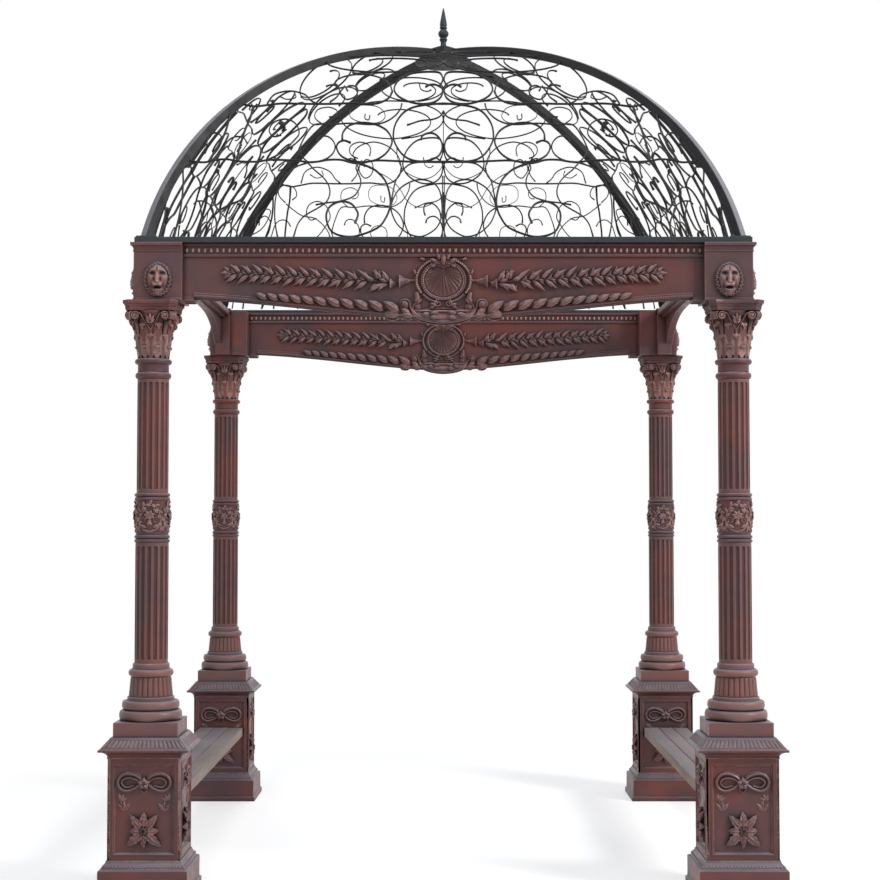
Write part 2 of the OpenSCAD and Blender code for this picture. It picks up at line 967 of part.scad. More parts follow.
// The scrollwork of the side that faces -Y, cut to the faces of its two ribs
module scroll_side() {
    rib_side = rib_w / sqrt(2);
    far = 2 * rib_foot;
    intersection() {
        for (i = [0 : tiers - 1]) {
            low = tier_point(i);
            high = tier_point(i + 1);
            slope = atan2(high.y - low.y, low.x - high.x);
            h = norm(high - low) - tier_gap;
            translate([0, -low.x, dome_z + low.y])
                rotate([slope, 0, 0])
                    translate([0, 0, -bar_t])
                        linear_extrude(bar_t)
                            tier_2d(h, low.x - rib_side, high.x - rib_side);
        }
        linear_extrude(dome_z + dome_rise)
            polygon([[0, -rib_side], [far, -rib_side - far], [-far, -rib_side - far]]);
        translate([-far, -far, dome_z])
            cube([2 * far, far, dome_rise]);
    }
}

module scrolls_at(turn) {
    color(charcoal)
        rotate(turn)
            scroll_side();
}

module front_scrolls() {
    scrolls_at(0);
}

module right_scrolls() {
    scrolls_at(90);
}

module back_scrolls() {
    scrolls_at(180);
}

module left_scrolls() {
    scrolls_at(-90);
}

// ---- Benches ----

// Three planks that run between the sunk panels of two pedestals
module bench(side) {
    gap = 5;
    plank_w = (seat_w - 2 * gap) / 3;
    length = 2 * (column_x - die_w / 2 + panel_d);
    color(plank)
        for (i = [-1 : 1])
            translate([side * column_x + i * (plank_w + gap) - plank_w / 2, -length / 2, seat_z - seat_t])
                cube([plank_w, length, seat_t]);
}

module left_bench() {
    bench(-1);
}

module right_bench() {
    bench(1);
}

pedestal(FL);  // pedestal_front_left
pedestal(FR);  // pedestal_front_right
pedestal(BL);  // pedestal_back_left
pedestal(BR);  // pedestal_back_right
column_base(FL);  // column_base_front_left
column_base(FR);  // column_base_front_right
column_base(BL);  // column_base_back_left
column_base(BR);  // column_base_back_right
lower_shaft(FL);  // lower_shaft_front_left
lower_shaft(FR);  // lower_shaft_front_right
lower_shaft(BL);  // lower_shaft_back_left
lower_shaft(BR);  // lower_shaft_back_right
collar(FL);  // collar_front_left
collar(FR);  // collar_front_right
collar(BL);  // collar_back_left
collar(BR);  // collar_back_right
upper_shaft(FL);  // upper_shaft_front_left
upper_shaft(FR);  // upper_shaft_front_right
upper_shaft(BL);  // upper_shaft_back_left
upper_shaft(BR);  // upper_shaft_back_right
capital(FL);  // capital_front_left
capital(FR);  // capital_front_right
capital(BL);  // capital_back_left
capital(BR);  // capital_back_right
corner_block(FL);  // corner_block_front_left
corner_block(FR);  // corner_block_front_right
corner_block(BL);  // corner_block_back_left
corner_block(BR);  // corner_block_back_right
front_beam();
back_beam();
left_beam();
right_beam();
dome_frame();
rib(FL);  // rib_front_left
rib(FR);  // rib_front_right
rib(BL);  // rib_back_left
rib(BR);  // rib_back_right
crown();
finial();
front_scrolls();
back_scrolls();
left_scrolls();
right_scrolls();
left_bench();
right_bench();
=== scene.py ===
"""A square garden gazebo of cast iron with a wrought iron dome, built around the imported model."""

import math

import bmesh
import bpy
import numpy as np
from mathutils import Matrix, Vector


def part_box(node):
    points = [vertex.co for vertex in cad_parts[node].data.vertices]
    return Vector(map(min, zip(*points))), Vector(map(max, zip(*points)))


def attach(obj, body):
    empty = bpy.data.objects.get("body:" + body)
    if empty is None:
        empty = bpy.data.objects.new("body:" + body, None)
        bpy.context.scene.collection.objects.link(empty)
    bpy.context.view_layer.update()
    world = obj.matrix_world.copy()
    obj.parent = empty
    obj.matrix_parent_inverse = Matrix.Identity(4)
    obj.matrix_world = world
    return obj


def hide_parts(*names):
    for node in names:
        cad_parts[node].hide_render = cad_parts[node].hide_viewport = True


bl_info = {
    "name": "Cast iron gazebo",
    "version": (1, 0, 0),
    "blender": (4, 5, 0),
    "location": "3D View > Sidebar > Gazebo",
    "description": "Builds a square garden gazebo of cast iron with a wrought iron dome",
    "category": "Add Mesh",
}

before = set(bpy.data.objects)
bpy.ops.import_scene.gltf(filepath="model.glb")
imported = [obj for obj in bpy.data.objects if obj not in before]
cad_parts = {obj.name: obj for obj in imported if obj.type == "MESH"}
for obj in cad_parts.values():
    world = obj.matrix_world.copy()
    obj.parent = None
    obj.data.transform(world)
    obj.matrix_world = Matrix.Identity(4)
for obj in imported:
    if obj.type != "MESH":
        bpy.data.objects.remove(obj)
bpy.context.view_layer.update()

MM = 0.001
# Each corner and each side is the one before it, turned a quarter turn about the middle
CORNERS = ("front_left", "front_right", "back_right", "back_left")
SIDES = ("front", "right", "back", "left")
# A leaf's length, width and thickness at size 1
LEAF_SIZE = (100 * MM, 52 * MM, 8 * MM)
# How far the lacquer is rubbed thin on the crests of flutes, which also paints a highlight on them
CREST_POLISH_AND_HIGHLIGHT = 0.18
# Edges sharper than this many degrees stay crisp
SHARP_ANGLE = 35
# Half the width of the floor, in metres
FLOOR_HALF = 40
# Section of the scroll bars, as an oval in a unit square, and rings of points on a bead
BAR_SIDES = 8
BAR_RADIUS = 0.54
BEAD_RINGS = 5


# ---- Sizes and colours that a user may change ----


def hex_colour(code):
    """A colour written as sRGB hex, as linear values."""
    shares = [int(code[i : i + 2], 16) / 255 for i in (1, 3, 5)]
    return tuple(
        c / 12.92 if c <= 0.04045 else ((c + 0.055) / 1.055) ** 2.4 for c in shares
    )


def length(name, description, millimetres):
    """A size property in metres, from a default in millimetres."""
    return bpy.props.FloatProperty(
        name=name,
        description=description,
        default=millimetres * MM,
        min=0.0,
        unit="LENGTH",
    )


def tint(name, description, code):
    """A colour property, from a default written as sRGB hex."""
    return bpy.props.FloatVectorProperty(
        name=name,
        description=description,
        default=hex_colour(code),
        min=0.0,
        max=1.0,
        subtype="COLOR",
    )


def number(name, description, default):
    """A count property."""
    return bpy.props.IntProperty(
        name=name, description=description, default=default, min=1
    )


class PedestalSizes(bpy.types.PropertyGroup):
    """Sizes of the pedestals."""

    foot_height: length("Foot height", "Height of the square foot", 26)
    band_width: length("Band width", "Width of the plain band on the foot", 388)
    band_height: length("Band height", "Height of the plain band", 99)
    slope_height: length("Slope height", "Height of the slope below the die", 35)
    die_width: length("Die width", "Width of the die", 318)
    die_height: length("Die height", "Height of the die", 440)
    panel_width: length("Panel width", "Width of the sunk panels", 255)
    panel_height: length("Panel height", "Height of the sunk panels", 370)
    panel_depth: length("Panel depth", "Depth of the sunk panels", 8)
    cove_height: length("Cove height", "Height of the cove under the cap", 29)
    cap_width: length("Cap width", "Width of the cap", 394)
    lip_height: length("Lip height", "Height of the cap's upright edge", 11)
    cap_top_width: length("Cap top width", "Width of the cap's reeded slope at its top", 300)
    cap_reeds: number("Reeds on the cap", "Reeds on each side of the cap", 19)
    bead_spacing: length("Bead spacing", "Distance between beads on the lower slope", 14.7)
    rosette_height: length("Rosette height", "Height of the rosette above the panel's lower edge", 92)
    bow_height: length("Bow height", "Height of the bow's knot above the panel's lower edge", 296)


class ColumnSizes(bpy.types.PropertyGroup):
    """Sizes of the columns."""

    plinth_width: length("Plinth width", "Width of the square plinth", 282)
    plinth_height: length("Plinth height", "Height of the square plinth", 63)
    lower_radius: length("Lower shaft radius", "Radius of the lower shaft", 73.5)
    upper_radius: length("Upper shaft radius", "Radius of the upper shaft", 70)
    flutes: number("Flutes", "Flutes around each shaft", 16)
    flute_half: length("Flute half width", "Half the width of a flute", 8.8)
    drum_radius: length("Collar radius", "Radius of the collar between the shafts", 73.5)
    ring_height: length("Ring height", "Height of each ring on the collar", 18)
    ring_radius: length("Ring radius", "Radius of the rings on the collar", 79)
    bell_low: length("Bell radius below", "Radius of the capital's bell at its foot", 64)
    bell_high: length("Bell radius above", "Radius of the capital's bell at its top", 101)
    bell_height: length("Bell height", "Height of the capital's bell", 208)
    abacus_width: length("Abacus width", "Width of the abacus", 246)
    abacus_height: length("Abacus height", "Height of the abacus", 47)
    abacus_hollow: length("Abacus hollow", "How far the sides of the abacus are hollowed", 22)
    volute_radius: length("Volute radius", "Radius of the scrolls under the abacus", 20)
    capital_leaves: number("Leaves", "Leaves in each ring of the capital", 8)


class BeamSizes(bpy.types.PropertyGroup):
    """Sizes of the corner blocks and beams."""

    block_width: length("Block width", "Width of the corner blocks", 216)
    cornice_height: length("Cornice height", "Height of the blocks' cornice", 42)
    cornice_out: length("Cornice reach", "How far the cornice stands out", 14)
    mask_width: length("Mask width", "Width of the lion masks with their mane", 133)
    mask_height: length("Mask height", "Height of the lion masks with their mane", 155)
    mask_drop: length("Mask drop", "How far the masks sit below the middle of the block", 12)
    thickness: length("Beam thickness", "Thickness of the beams", 84)
    end_height: length("End height", "Height of the beams beside the blocks", 241)
    sag: length("Sag", "How far the lower edge hangs down at midspan", 96)
    tongue_length: length("Tongue length", "Length of the tongue beside each block", 50)
    tongue_height: length("Tongue height", "How far the tongue hangs down", 19)
    bead_spacing: length("Bead spacing", "Distance between the beads under the top fillet", 27)
    bead_size: length("Bead size", "Diameter of those beads", 18)
    bead_shape: bpy.props.FloatVectorProperty(
        name="Bead shape", description="Stretch of those beads up, out and along", default=(1.35, 0.85, 0.8)
    )
    garland_reach: length("Garland reach", "Distance from midspan to a garland's far end", 950)
    rope_reach: length("Rope reach", "Distance from midspan to the leaf rope's far end", 822)
    cartouche_width: length("Cartouche width", "Width of the oval cartouche", 272)
    cartouche_height: length("Cartouche height", "Height of the oval cartouche", 226)
    plaque_width: length("Plaque width", "Width of the boat-shaped plaque", 286)
    arch_plate: length("Arch plate", "Thickness of the side beams' plate", 34)
    arch_middle: length("Arch height at midspan", "Depth of the side beams' plate at midspan", 54)
    arch_end: length("Arch height at its ends", "Depth of the side beams' plate beside the tongues", 200)
    arch_power: bpy.props.FloatProperty(
        name="Arch power", description="How late the arch turns down towards its ends", default=5.5
    )
    arch_rail: length("Arch rail", "Depth of the rail along the inside of the side beams", 29)
    arch_step: length("Arch step", "Width and depth of the step under that rail", 13)


class DomeSizes(bpy.types.PropertyGroup):
    """Sizes of the dome."""

    side_radius: length("Side radius", "Radius of the dome's side profile", 1554)
    rib_width: length("Rib width", "Side of the square tube of the ribs", 42)
    bar_width: length("Bar width", "Width of the scroll bars across the dome's surface", 6.2)
    bar_depth: length("Bar depth", "Depth of the scroll bars, square to the dome's surface", 9)
    crown_width: length("Crown width", "Width of the square crown where the ribs meet", 175.4)
    crown_plate: length("Crown plate", "Thickness of the round plate under the crown", 10)
    frame_width: length("Frame width", "Width of the steel frame's bars", 62)
    foot_reach: length("Foot reach", "Distance from the middle to the dome's outside at its foot", 1346)
    foot_lean: bpy.props.FloatProperty(
        name="Foot lean",
        description="Angle along the side arc at which the dome starts, in degrees",
        default=12.24,
    )


class BenchSizes(bpy.types.PropertyGroup):
    """Sizes of the benches."""

    planks: number("Planks", "Planks in each seat", 3)
    gap: length("Gap", "Gap between planks", 3)
    edge: length("Edge", "Radius of the planks' worn edges", 5)


class Finishes(bpy.types.PropertyGroup):
    """Colours of the materials."""

    iron_red: tint("Iron, red", "Warm red-brown of the castings", "#77423B")
    iron_violet: tint("Iron, violet", "Cool violet-grey of the castings", "#4E3E42")
    # Also the colour of painted shade in hollows and on grounds
    iron_dark_and_shade: tint("Iron, recesses", "Dirt in the hollows of the castings", "#1D1413")
    # Also the colour of painted highlights on edges and raised ornament
    iron_light_and_highlight: tint("Iron, edges", "Rubbed edges of the castings", "#A98279")
    forged: tint("Forged bars", "Black paint of the scrollwork", "#17171A")
    # The ribs' outer faces are painted in this pale grey
    rib_face: tint("Rib face", "Weathered outer face of the ribs", "#7C7D82")
    steel: tint("Steel frame", "Blue-grey paint of the steel frame", "#24292D")
    timber: tint("Timber", "Sides of the weathered seat planks", "#8C7B72")
    # Also the colour of a painted sky sheen on the tops
    timber_top_and_sheen: tint("Timber, top", "Rain-washed top of the seat planks", "#857E84")
    ground: tint("Ground", "Pale floor", "#F4F4F4")


# ---- Shapes: a body is its points and its faces ----


def skin(rows, ends="caps"):
    """A skin over rows of points, each row a loop. ends is caps, or join where the last row meets the first."""
    rows = np.asarray(rows, float)
    count, wide = rows.shape[:2]
    i = np.arange(count if ends == "join" else count - 1)[:, None]
    j = np.arange(wide)[None, :]
    low, high = i * wide, (i + 1) % count * wide
    step = (j + 1) % wide
    quads = np.stack([low + j, low + step, high + step, high + j], -1)
    faces = quads.reshape(-1, 4).tolist()
    if ends == "caps":
        faces.append(list(range(wide))[::-1])
        faces.append(list(range((count - 1) * wide, count * wide)))
    return rows.reshape(-1, 3), faces


def moved(body, matrix):
    """A body moved by a matrix."""
    m = np.array(matrix)
    return (body[0] @ m[:3, :3].T + m[:3, 3], *body[1:])


def with_polish_and_painted_light(body, amount):
    """A body whose lacquer is rubbed thin and painted with a highlight (amount over 0), or that holds dirt and
    painted shade (under 0).
    """
    return body[0], body[1], np.full(len(body[0]), float(amount))


def joined(*bodies):
    """Several bodies as one."""
    points, faces, polish_and_painted_light, count = [], [], [], 0
    for body in bodies:
        points.append(np.asarray(body[0], float).reshape(-1, 3))
        faces += [[i + count for i in face] for face in body[1]]
        polish_and_painted_light.append(body[2] if len(body) > 2 else np.zeros(len(points[-1])))
        count += len(points[-1])
    return np.vstack(points), faces, np.concatenate(polish_and_painted_light)


def quarter(body, turns):
    """A body turned about the middle of the plan by quarter turns."""
    return moved(body, Matrix.Rotation(turns * math.pi / 2, 4, "Z"))


def at(x=0.0, y=0.0, z=0.0):
    """A move."""
    return Matrix.Translation((x, y, z))


def turned(angle, axis="Z"):
    """A turn, in degrees."""
    return Matrix.Rotation(math.radians(angle), 4, axis)


def on_wall(x, y, z):
    """Stands a relief, drawn as X right, Y up and Z out, on a wall that faces -Y."""
    return at(x, y, z) @ turned(90, "X")


def mm(*points):
    """Points written in millimetres, as points in metres."""
    return [tuple(value * MM for value in point) for point in points]


def four_sides(x, y, height):
    """A level loop from the points of its front side, repeated at each quarter turn."""
    side, loop = np.stack([x, y], -1), []
    for _ in range(4):
        loop.append(side)
        side = np.stack([-side[:, 1], side[:, 0]], -1)
    loop = np.vstack(loop)
    return np.hstack([loop, np.full((len(loop), 1), height)])


def lathe(profile, around, relief=None, angles=None):
    """A turned body about Z from (radius, height) points.

    relief gives an offset for angles and a height; its crests are painted bright, as rubbed lacquer and painted
    highlight, and where it sinks is painted dark, as dirt and painted shade.
    """
    if angles is None:
        angles = np.arange(around) * 2 * math.pi / around
    rows, polish_and_light_tones = [], []
    for radius, height in profile:
        offset = relief(angles, height) if relief else np.zeros(len(angles))
        r = radius + offset
        rows.append(np.stack([r * np.cos(angles), r * np.sin(angles), np.full(len(r), height)], -1))
        polish_and_light_tones.append(np.clip(CREST_POLISH_AND_HIGHLIGHT + offset / (15 * MM), -0.4, CREST_POLISH_AND_HIGHLIGHT) if relief else offset)
    return (*skin(rows), np.concatenate(polish_and_light_tones))


def square_rings(profile, chamfer=1.5 * MM):
    """A square moulding from (half width, height) points, with its corners slightly broken."""
    rows = []
    for half, height in profile:
        c = min(chamfer, half / 3)
        rows.append(four_sides(np.array([half, half]), np.array([c - half, half - c]), height))
    return skin(rows)


def reeded_slope(low_half, low, high_half, high, count, depth):
    """A sloping square wall with upright reeds, round at both ends."""
    s = np.linspace(-1, 1, count * 6, endpoint=False)
    wave = np.sqrt(np.abs(np.sin(math.pi * count * (s + 1) / 2)))
    rows = []
    for t in (0, 0.04, 0.1, 0.2, 0.4, 0.6, 0.8, 0.9, 0.96, 1):
        half = low_half + (high_half - low_half) * t
        end = min(1.0, min(t, 1 - t) / 0.12)
        y = depth * (1 - wave * math.sqrt(1 - (1 - end) ** 2)) - half
        rows.append(four_sides(np.clip(s * half, y, -y), y, low + (high - low) * t))
    return skin(rows)


def picture_frame(wide, high, profile):
    """A closed rectangular moulding in the XY plane from (inset, height out) points."""
    rows = []
    for inset, out in profile:
        x, y = wide / 2 - inset, high / 2 - inset
        rows.append([(-x, -y, out), (x, -y, out), (x, y, out), (-x, y, out)])
    return skin(rows, ends="join")


def ribbon(path, wide, out, sides=8, ends="caps"):
    """A bar along a path in the XY plane with an oval section: wide across the path and out of the plane."""
    path = np.asarray(path, float)
    if path.shape[1] == 2:
        path = np.hstack([path, np.zeros((len(path), 1))])
    if ends == "join":
        tangent = np.roll(path, -1, 0) - np.roll(path, 1, 0)
    else:
        tangent = np.gradient(path, axis=0)
    tangent = tangent / np.maximum(np.linalg.norm(tangent, axis=1), 1e-9)[:, None]
    across = np.stack([tangent[:, 1], -tangent[:, 0], np.zeros(len(path))], -1)
    angles = np.arange(sides) * 2 * math.pi / sides
    wide = np.broadcast_to(np.asarray(wide, float) / 2, len(path))
    out = np.broadcast_to(np.asarray(out, float), len(path))
    rows = (
        path[:, None, :]
        + across[:, None, :] * (wide[:, None] * np.cos(angles))[:, :, None]
        + np.array([0, 0, 1.0]) * (out[:, None] * np.sin(angles))[:, :, None]
    )
    return skin(rows, ends=ends)


def ribbon_pair(path, start, end, out, sides=6):
    """A ribbon and its mirror image, from start to end wide and out high, in millimetres."""
    wide = np.linspace(start, end, len(path)) * MM
    return joined(*[ribbon(np.asarray(path) * (side, 1), wide, out * MM, sides) for side in (1, -1)])


def spiral(radius, turns, start=0.0, way=1, end_share=0.2):
    """Points of a spiral about the origin that winds in from its outer end."""
    count = int(20 * turns) + 2
    t = np.linspace(0, 1, count)
    angle = math.radians(start) + way * t * turns * 2 * math.pi
    r = radius * (1 - (1 - end_share) * t)
    return np.stack([r * np.cos(angle), r * np.sin(angle)], -1)


def smooth_path(points, per_span=6):
    """A smooth curve through a few points."""
    p = np.asarray(points, float)
    p = np.vstack([2 * p[0] - p[1], p, 2 * p[-1] - p[-2]])
    out = []
    for i in range(1, len(p) - 2):
        for t in np.arange(per_span) / per_span:
            a, b, c, d = p[i - 1], p[i], p[i + 1], p[i + 2]
            curve = 2 * b + (c - a) * t + (2 * a - 5 * b + 4 * c - d) * t**2
            out.append(0.5 * (curve + (3 * b - 3 * c + d - a) * t**3))
    return np.array(out + [p[-2]])


def leaf(long, wide, thick, lobes=0, spine=None, rows=8, half=2, lift=0.0, cup=0.0):
    """A leaf along +X with its face up: a midrib, veins and, with lobes, a cut edge.

    spine bends it, as (x, z) points, and cup lifts its rim.
    """
    t = np.linspace(0, 1, rows)
    breadth = np.sin(math.pi * np.clip(t, 0.03, 0.98) ** 0.8) ** 0.7
    if lobes:
        breadth = breadth * (0.76 + 0.24 * np.abs(np.sin(math.pi * (lobes * t + 0.15))))
    if spine is None:
        spine = np.stack([long * t, lift * np.sin(math.pi * t)], -1)
    else:
        spine = np.asarray(spine, float)
        along = np.linspace(0, 1, len(spine))
        spine = np.stack([np.interp(t, along, spine[:, k]) for k in (0, 1)], -1)
    slope = np.gradient(spine, axis=0)
    slope = slope / np.linalg.norm(slope, axis=1)[:, None]
    normal = np.stack([-slope[:, 1], slope[:, 0]], -1)
    q = np.linspace(-1, 1, 2 * half + 1)[None, :]
    body = 0.3 + 0.4 * np.sqrt(np.clip(1 - q**2, 0, 1)) + 0.42 * np.exp(-((q / 0.2) ** 2)) + cup * q**2
    veins = 0.26 * np.cos(2 * math.pi * (max(lobes, 3) * t[:, None] - 0.7 * np.abs(q))) * np.abs(q)
    rise = thick * (body + veins) * np.minimum(1, breadth[:, None] * 1.3)
    points = np.empty((rows, 2 * half + 1, 3))
    points[:, :, 1] = breadth[:, None] * q * wide / 2
    under = points[:, [-1, 0]].copy()
    under[:, :, 1] *= 0.8
    for axis, k in ((0, 0), (2, 1)):
        points[:, :, axis] = spine[:, k, None] + normal[:, k, None] * rise
        under[:, :, axis] = spine[:, k, None] - normal[:, k, None] * thick * 0.5
    return skin(np.concatenate([points, under], 1))


def ball(radius, around=10, rings=6):
    """A round bead about the origin."""
    a = np.linspace(-math.pi / 2 + 0.2, math.pi / 2 - 0.2, rings)
    return lathe(list(zip(radius * np.cos(a), radius * np.sin(a))), around)


def oval_plate(wide, high, profile, around):
    """An oval in the XY plane from (share of its size, height out) points."""
    angles = np.arange(around) * 2 * math.pi / around
    rows = []
    for part, out in profile:
        z = np.full(around, float(out))
        rows.append(np.stack([part * wide / 2 * np.cos(angles), part * high / 2 * np.sin(angles), z], -1))
    return skin(rows)


def fresh_mesh(body, name):
    """A mesh from a body, closed, with its faces outwards and its sharp edges kept."""
    mesh = bpy.data.meshes.new(name)
    mesh.from_pydata(body[0].tolist(), [], body[1])
    work = bmesh.new()
    work.from_mesh(mesh)
    bmesh.ops.recalc_face_normals(work, faces=work.faces)
    work.to_mesh(mesh)
    work.free()
    if len(body) > 2:
        # This mark carries rubbed lacquer and painted highlights, and dirt and painted shade
        mesh.attributes.new("polish_and_painted_light", "FLOAT", "POINT").data.foreach_set("value", body[2])
    mesh.shade_smooth()
    mesh.set_sharp_from_angle(angle=math.radians(SHARP_ANGLE))
    return mesh


def finish_piece(name, body, metal, *nodes):
    """Makes a piece from a body and lets it stand for its nodes."""
    piece = bpy.data.objects.new(name, fresh_mesh(body, name))
    piece.data.materials.append(metals[metal])
    bpy.context.scene.collection.objects.link(piece)
    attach(piece, "root")
    if nodes:
        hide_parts(*nodes)
    return piece


# ---- Node trees ----


def feed(tree, node, inputs):
    """Sets a node's inputs. An input is a value, or another node's output to link."""
    for name, value in inputs.items():
        if isinstance(value, bpy.types.NodeSocket):
            tree.links.new(value, node.inputs[name])
        else:
            node.inputs[name].default_value = value
    return node


def add_node(tree, kind, settings, inputs):
    """Adds a node with its settings and inputs."""
    node = tree.nodes.new(kind)
    for name, value in settings.items():
        setattr(node, name, value)
    return feed(tree, node, inputs)


def fresh_tree(name, sockets):
    """A Geometry Nodes tree with a geometry input and output and the named inputs of the given kinds."""
    tree = bpy.data.node_groups.new(name, "GeometryNodeTree")
    for label, kind in {"Geometry": "Geometry", **sockets, "Material": "Material"}.items():
        tree.interface.new_socket(label, in_out="INPUT", socket_type=f"NodeSocket{kind}")
    tree.interface.new_socket("Geometry", in_out="OUTPUT", socket_type="NodeSocketGeometry")
    return tree, tree.nodes.new("NodeGroupInput").outputs


def close_tree(tree, geometry, material):
    """Ends a tree in Realize Instances and Set Material."""
    real = add_node(tree, "GeometryNodeRealizeInstances", {}, {"Geometry": geometry})
    inputs = {"Geometry": real.outputs["Geometry"], "Material": material}
    dressed = add_node(tree, "GeometryNodeSetMaterial", {}, inputs)
    add_node(tree, "NodeGroupOutput", {}, {"Geometry": dressed.outputs["Geometry"]})
    return tree


def copy_to_points(tree, given, points, rotation, scale):
    """Ends a tree in copies of its shape on points."""
    shape = add_node(tree, "GeometryNodeObjectInfo", {}, {"Object": given["Shape"]})
    inputs = {"Points": points, "Instance": shape.outputs["Geometry"], "Rotation": rotation, "Scale": scale}
    made = add_node(tree, "GeometryNodeInstanceOnPoints", {}, inputs)
    return close_tree(tree, made.outputs["Instances"], given["Material"])


def placed_copies_tree():
    """Copies of a shape on points that carry their turn and their size."""
    tree, given = fresh_tree("Placed copies", {"Shape": "Object"})
    turn, grow = [
        add_node(tree, "GeometryNodeInputNamedAttribute", {"data_type": "FLOAT_VECTOR"}, {"Name": name})
        for name in ("turn", "grow")
    ]
    inputs = {"Euler": turn.outputs["Attribute"]}
    rotation = add_node(tree, "FunctionNodeEulerToRotation", {}, inputs).outputs["Rotation"]
    return copy_to_points(tree, given, given["Geometry"], rotation, grow.outputs["Attribute"])


def bead_row_tree():
    """Beads at an even spacing along lines."""
    tree, given = fresh_tree("Bead row", {"Shape": "Object", "Spacing": "Float", "Size": "Float"})
    line = add_node(tree, "GeometryNodeMeshToCurve", {}, {"Mesh": given["Geometry"]})
    inputs = {"Curve": line.outputs["Curve"], "Length": given["Spacing"]}
    points = add_node(tree, "GeometryNodeCurveToPoints", {"mode": "LENGTH"}, inputs)
    return copy_to_points(tree, given, points.outputs["Points"], points.outputs["Rotation"], given["Size"])


def bent_bar_tree():
    """Flat bars along lines, on edge to each point's facing and as thick as its swell."""
    tree, given = fresh_tree("Bent bars", {"Bar width": "Float", "Bar depth": "Float"})
    line = add_node(tree, "GeometryNodeMeshToCurve", {}, {"Mesh": given["Geometry"]})
    swell, facing = [
        add_node(tree, "GeometryNodeInputNamedAttribute", {"data_type": kind}, {"Name": name})
        for name, kind in (("swell", "FLOAT"), ("facing", "FLOAT_VECTOR"))
    ]
    inputs = {"Curve": line.outputs["Curve"], "Normal": facing.outputs["Attribute"]}
    faced = add_node(tree, "GeometryNodeSetCurveNormal", {"mode": "FREE"}, inputs)
    inputs = {"Resolution": BAR_SIDES, "Radius": BAR_RADIUS}
    ring = add_node(tree, "GeometryNodeCurvePrimitiveCircle", {"mode": "RADIUS"}, inputs)
    inputs = {"X": given["Bar depth"], "Y": given["Bar width"], "Z": 1.0}
    across = add_node(tree, "ShaderNodeCombineXYZ", {}, inputs)
    inputs = {"Geometry": ring.outputs["Curve"], "Scale": across.outputs["Vector"]}
    section = add_node(tree, "GeometryNodeTransform", {}, inputs)
    inputs = {"Curve": faced.outputs["Curve"], "Profile Curve": section.outputs["Geometry"]}
    inputs.update({"Scale": swell.outputs["Attribute"], "Fill Caps": True})
    made = add_node(tree, "GeometryNodeCurveToMesh", {}, inputs)
    return close_tree(tree, made.outputs["Mesh"], given["Material"])


def grown(tree, source, values, shape=None, metal="iron"):
    """Runs a tree on a mesh of points or lines, with the body that it copies if there is one.

    It returns the plain result as a body, and leaves nothing else behind.
    """
    items = [bpy.data.objects.new("carrier", source)]
    values = {**values, "Material": metals[metal]}
    if shape:
        items.append(bpy.data.objects.new("shape", fresh_mesh(shape, "shape")))
        values["Shape"] = items[1]
    for item in items:
        bpy.context.scene.collection.objects.link(item)
    carrier = items[0]
    modifier = carrier.modifiers.new("grow", "NODES")
    modifier.node_group = trees[tree]
    for item in trees[tree].interface.items_tree:
        if item.in_out == "INPUT" and item.name in values:
            modifier[item.identifier] = values[item.name]
    graph = bpy.context.evaluated_depsgraph_get()
    mesh = bpy.data.meshes.new_from_object(carrier.evaluated_get(graph), depsgraph=graph)
    carrier.modifiers.remove(modifier)
    points = np.empty(len(mesh.vertices) * 3)
    mesh.vertices.foreach_get("co", points)
    faces = [list(p.vertices) for p in mesh.polygons]
    meshes = [mesh] + [item.data for item in items]
    for item in items:
        bpy.data.objects.remove(item)
    for mesh in meshes:
        bpy.data.meshes.remove(mesh)
    return points.reshape(-1, 3), faces


def copies(body, places, metal="iron", polish_and_painted_light=0.3):
    """Copies of a body at (position, turn in degrees, size) places, by Geometry Nodes, rubbed by polish: over 0
    it paints them lighter, as rubbed lacquer and painted highlight.
    """
    source = bpy.data.meshes.new("places")
    source.from_pydata([tuple(place[0]) for place in places], [], [])
    for name, k, unit in (("turn", 1, math.radians(1)), ("grow", 2, 1.0)):
        values = np.array([np.broadcast_to(place[k], 3) for place in places], float) * unit
        source.attributes.new(name, "FLOAT_VECTOR", "POINT").data.foreach_set("vector", values.ravel())
    return with_polish_and_painted_light(grown("placed", source, {}, body, metal), polish_and_painted_light)


def leaves(places, rows=8, lift=0, polish_and_painted_light=0.3, **form):
    """Copies of one leaf, LEAF_SIZE at size 1, with its middle lifted by some millimetres, painted lighter by
    polish as rubbed lacquer and painted highlight.
    """
    return copies(leaf(*LEAF_SIZE, rows=rows, lift=lift * MM, **form), places, polish_and_painted_light=polish_and_painted_light)


def lines_mesh(paths, closed=False):
    """A mesh of edges along paths of 3-D points, each with an optional swell and facing."""
    points, edges, swell, facing = [], [], [], []
    for path in paths:
        path, thick, normal = path if isinstance(path, tuple) else (path, 1.0, (0, 0, 1))
        start = len(points)
        points += [tuple(p) for p in path]
        edges += [(start + i, start + i + 1) for i in range(len(path) - 1)]
        if closed:
            edges.append((start + len(path) - 1, start))
        swell += list(np.broadcast_to(thick, len(path)))
        facing.append(np.broadcast_to(normal, (len(path), 3)))
    mesh = bpy.data.meshes.new("lines")
    mesh.from_pydata(points, edges, [])
    mesh.attributes.new("swell", "FLOAT", "POINT").data.foreach_set("value", np.array(swell, float))
    facing = np.vstack(facing).astype(float).ravel()
    mesh.attributes.new("facing", "FLOAT_VECTOR", "POINT").data.foreach_set("vector", facing)
    return mesh


def bead_rows(paths, spacing, size, closed=False, shape=(1, 1, 1)):
    """Rows of beads along paths, by Geometry Nodes, painted bright all over: a painted highlight, with rubbed
    lacquer.
    """
    bead = moved(ball(0.5, 8, BEAD_RINGS), Matrix.Diagonal((*shape, 1)))
    return with_polish_and_painted_light(grown("beads", lines_mesh(paths, closed), {"Spacing": spacing, "Size": size}, bead), 1.0)


